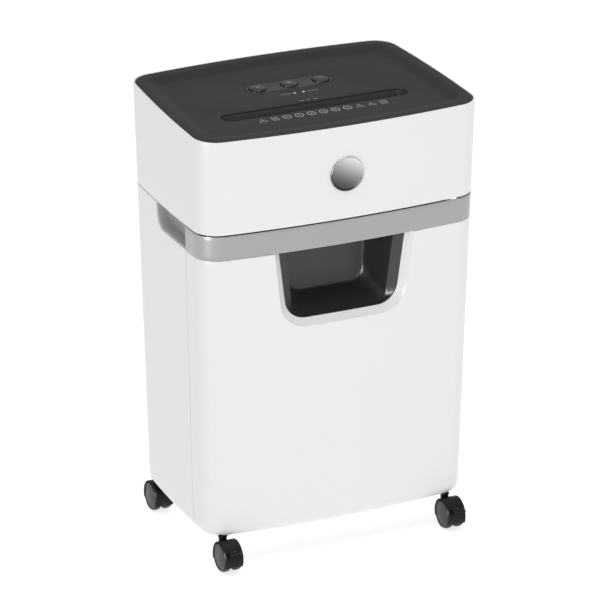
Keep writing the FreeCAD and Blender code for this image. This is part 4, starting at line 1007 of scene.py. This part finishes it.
def make_cabinet():
    """Sides and back of the lower body, with the hand grips cut out of both sides."""
    top = SEAM_Z - GAP / 2
    rows = wall_rows(cabinet_plan, 368.0, top, 9, 12)
    columns = len(rows[0])
    low_row = len(rows) - 1 - 12
    behind = range(GRIP_COLUMNS, columns - 1 - GRIP_COLUMNS)
    faces = faces_beside(rows, low_row, lambda column: column not in behind)
    points = [point for row in rows for point in row]
    for side in (1, -1):
        order = list(range(GRIP_COLUMNS + 1))
        if side < 0:
            order = [columns - 1 - index for index in order]
        path = [rows[low_row][column] for column in order]
        path += [rows[row][order[-1]] for row in range(low_row + 1, len(rows))]
        outline = [(y, z) for _, y, z in path]
        count = len(outline)
        web = blended(outline, grip_path(-0.6, count), 5)[1:]
        patch = [path] + [[(side * side_x(y, z), y, z) for y, z in row] for row in web]
        for offset, depth in ((-0.2, 0.1), (0.05, 0.35), (0.15, 0.8)):
            patch.append([(side * (side_x(y, z) - depth), y, z) for y, z in grip_path(offset, count)])
        faces += grid_faces(len(patch), count, start=len(points))
        points += [point for row in patch for point in row]
    item = new_object("cabinet_skin", points, faces, WHITE)
    face_outwards(item, (0, 0, 200))
    thicken(item, SKIN_WALL, 0.45)
    finish_mesh(item, 32)
    floor_outline = cabinet_plan(BASE_Z, BASE_ROUND)
    floor = [level(floor_outline, BASE_Z + lift) for lift in (0.0, 3.2)]
    under = skin_of("cabinet_floor", floor, WHITE, closed=True, caps=(0, -1))
    hole = [(0.01, 30), (HOLE_R, 30), (HOLE_R, 66), (0.01, 66)]
    carve(under, *[lathe("hole", hole, (side * CASTER_X, y, 0), (0, 0, 1), WHITE)
                   for side in (-1, 1) for y in (CASTER_FRONT, CASTER_BACK)])
    return place(joined("cabinet_skin", [item, under]), "root", "white_plastic", "cabinet_body")


def make_grip(name, side):
    """A cup behind the opening, white plastic painted grey as shade of the recess: a narrow frame, then
    straight walls and a flat back.
    """
    count = 60
    profile = ((0.3, 1.0), (0.4, 0.7), (1.2, 0.7), (1.6, 1.0), (1.9, 1.6), (2.1, 3.0), (2.4, 8.0),
               (2.8, 13.0), (3.4, 14.8), (4.4, 15.7), (6.0, GRIP_DEEP))
    rows = [[(side * (side_x(y, z) - depth), y, z) for y, z in grip_path(offset, count)]
            for offset, depth in profile]
    last = grip_path(6.0, count)
    corner = (SEAM_Y + 1.0, SEAM_Z - 1.5)
    for mix in (0.3, 0.65, 0.97):
        row = [between(point, corner, mix) for point in last]
        rows.append([(side * (side_x(y, z) - GRIP_DEEP), y, z) for y, z in row])
    item = skin_of(name + "_cup", rows, SHADE_GREY, smooth=50)
    face_outwards(item, (side * 400, -20, 400))
    item.data.flip_normals()
    thicken(item, 1.2, 0.2)
    finish_mesh(item, 50)
    return place(item, "root", "grey_plastic", name)


# ---- casters

def wheel_profile():
    """(radius, distance out from the hood) of one wheel: tread, raised rim ring and domed disc."""
    wide = WHEEL_WIDE
    profile = [(3.1, 0.2), (12, 0.2), (16.6, 0.2), (17.2, 0.45), (WHEEL_R, 1.2), (WHEEL_R, wide - 3.4)]
    profile += [(17.2, wide - 2.2), (16.6, wide - 1.1), (15.9, wide - 0.45), (15.2, wide - 0.25),
                (14.6, wide - 0.45), (14.3, wide - 0.95), (13.9, wide - 1.0)]
    profile += [(radius, wide - 0.95 + 0.75 * (1 - (radius / 13.9) ** 2))
                for radius in (12, 9.5, 7, 4.5, 2.2)]
    return profile + [(0.01, wide - 0.2)]


def ring_sector(name, inner, outer, half, start, stop, centre, material, steps=28, edge=0.5):
    """A curved plate about X, from one angle to another (0 is +Y, 90 is up)."""
    x, y, z = centre
    rows = []
    for radius, along in ((inner, -half + edge), (outer - edge, -half), (outer, -half + edge),
                          (outer, half - edge), (outer - edge, half), (inner, half - edge)):
        row = []
        for step in range(steps + 1):
            angle = math.radians(start + (stop - start) * step / steps)
            row.append((x + along, y + radius * math.cos(angle), z + radius * math.sin(angle)))
        rows.append(row)
    rows.append(rows[0])
    columns = steps + 1
    points = [point for row in rows for point in row]
    faces = grid_faces(len(rows), columns)
    for column in (0, columns - 1):
        faces.append(tuple(row * columns + column for row in range(len(rows) - 1)))
    return new_object(name, points, faces, material)


def make_caster(end, side, braked):
    """A swivel caster that trails outwards: stem, web and fender in one piece, and twin wheels."""
    name = f"{end}_{'left' if side < 0 else 'right'}"
    x = side * CASTER_X
    y, trail = (CASTER_FRONT, -TRAIL) if end == "front" else (CASTER_BACK, TRAIL)
    axle_y = y + trail
    axle = (x, axle_y, WHEEL_R)
    stem = [(0.01, 58), (3.6, 58), (3.98, 57.4), (3.98, 37.9), (5.7, 37.75), (5.8, 37.5), (5.6, 37.1),
            (4.95, 36.3), (4.88, 35), (4.88, 31.5), (0.01, 31.5)]
    web = [(0.01, -WEB_HALF), (8.1, -WEB_HALF), (8.5, -WEB_HALF + 0.4), (8.5, WEB_HALF - 0.4),
           (8.1, WEB_HALF), (0.01, WEB_HALF)]
    pieces = [lathe(f"stem_{name}", stem, (x, y, 0), (0, 0, 1), BLACK, 48),
              ring_sector(f"fender_{name}", HOOD_IN, HOOD_OUT, HOOD_HALF, -HOOD_ANGLE, 180 + HOOD_ANGLE, axle,
                          BLACK, 64, 0.5),
              lathe(f"web_{name}", web, axle, (1, 0, 0), BLACK, 48),
              ring_sector(f"spine_{name}", 3.0, HOOD_IN + 0.4, WEB_HALF, 0, 180, axle, BLACK, 32, 0.3),
              block(f"foot_{name}", (x - WEB_HALF, y - 4.8, 25.8), (x + WEB_HALF, y + 4.8, 33.4), BLACK, 0.5)]
    if braked:
        pieces.append(block(f"arm_{name}", (x - WEB_HALF, axle_y - PIN_REACH - 1.2, PIN_Z - 1.6),
                            (x + WEB_HALF, axle_y - 9, PIN_Z + 1.2), BLACK, 0.3))
    place(joined(f"hood_{name}", pieces), f"caster_{name}", "black_plastic", f"caster_hood_{name}")
    wheels = []
    for way in (-1, 1):
        centre = (x + way * (WHEEL_IN - 0.2), axle_y, WHEEL_R)
        wheels.append(lathe(f"wheel_{name}_{way}", wheel_profile(), centre, (way, 0, 0), TREAD, 72))
    place(joined(f"wheels_{name}", wheels), f"wheels_{name}", "black_plastic", f"caster_wheels_{name}")
    if braked:
        make_brake(name, x, axle_y - PIN_REACH)


def make_brake(name, x, pin):
    """A foot lever that hinges on the front of the fender."""
    pieces = []
    for way in (-1, 1):
        low, high = sorted((x + way * 3.7, x + way * 7))
        pieces.append(lathe(f"barrel_{name}", [(1.3, 0), (2.1, 0), (2.4, 0.3), (2.4, high - low - 0.3),
                                               (2.1, high - low), (1.3, high - low), (1.3, 0)],
                            (low, pin, PIN_Z), (1, 0, 0), BLACK, 32))
    side_profile = [(-2.9, 27.8), (-5.4, 27.7), (-6.7, 28.0), (-6.95, 28.7), (-6.7, 29.5), (-5.4, 30.1),
                    (-4.0, 30.3), (-2.9, 30.4)]
    rows = []
    for along, shrink in ((-7, 0.5), (-6.6, 0), (6.6, 0), (7, 0.5)):
        rows.append([(x + along, pin + u + (0.4 * shrink if u < -5 else 0), z + (29.0 - z) * shrink * 0.3)
                     for u, z in side_profile])
    pieces.append(skin_of(f"tab_{name}", rows, BLACK, closed=True, caps=(0, -1), smooth=50))
    corner = name.split("_")[1]
    place(joined(f"foot_{name}", pieces), f"brake_{corner}", "black_plastic", f"brake_lever_{corner}")


# ---- stage, light and camera

def make_stage():
    size = 14000
    floor = new_object("floor", [(-size, -size, 0), (size, -size, 0), (size, size, 0), (-size, size, 0)],
                       [(0, 1, 2, 3)], glowing_floor("pale_floor"))


def area_light(name, at, target, size, power):
    data = bpy.data.lights.new(name, "AREA")
    data.shape = "RECTANGLE"
    data.size, data.size_y = size
    data.energy = power
    item = bpy.data.objects.new(name, data)
    item.location = at
    item.rotation_euler = (Vector(target) - Vector(at)).to_track_quat("-Z", "Y").to_euler()
    bpy.context.scene.collection.objects.link(item)
    return item


def make_light():
    world = bpy.data.worlds.new("studio")
    bpy.context.scene.world = world
    world.use_nodes = True
    back = world.node_tree.nodes["Background"]
    back.inputs["Color"].default_value = (1, 1, 1, 1)
    back.inputs["Strength"].default_value = SKY
    middle = (0, 0, 0.3)
    area_light("key", (-1.1, -3.6, 1.9), middle, (2.2, 2.2), KEY)
    area_light("overhead", (-0.1, -0.6, 3.6), middle, (2.6, 2.6), OVERHEAD)
    strip = area_light("corner_strip", (-3.1, -1.55, 0.9), middle, (0.28, 1.9), CORNER_STRIP)
    strip.visible_diffuse = False


CAMERA_AZIMUTH, CAMERA_ELEVATION = -25.57, 21.27
CAMERA_DISTANCE = 5.827
CAMERA_AIM = Vector((-0.001, 0.0, 0.276))
CAMERA_LENS = 296.83


def make_camera():
    azimuth, elevation = math.radians(CAMERA_AZIMUTH), math.radians(CAMERA_ELEVATION)
    back = Vector((math.sin(azimuth) * math.cos(elevation), -math.cos(azimuth) * math.cos(elevation),
                   math.sin(elevation)))
    data = bpy.data.cameras.new("view")
    data.lens = CAMERA_LENS
    data.sensor_width = 36.0
    data.clip_end = 100.0
    camera = bpy.data.objects.new("view", data)
    camera.location = CAMERA_AIM + back * CAMERA_DISTANCE
    camera.rotation_euler = back.to_track_quat("Z", "Y").to_euler()
    bpy.context.scene.collection.objects.link(camera)
    bpy.context.scene.camera = camera


# ---- everything in order

bpy.context.scene.view_settings.view_transform = "Standard"
make_camera()
finish_cad_nodes()
make_head()
make_panel()
make_throat()
make_strip()
make_buttons()
make_lamps()
make_pictograms()
make_badge()
make_drawer_front()
make_band()
make_scoop()
make_cabinet()
make_grip("grip_left", -1)
make_grip("grip_right", 1)
for caster_end in ("front", "back"):
    for caster_side in (-1, 1):
        make_caster(caster_end, caster_side, caster_end == "front")
make_stage()
make_light()
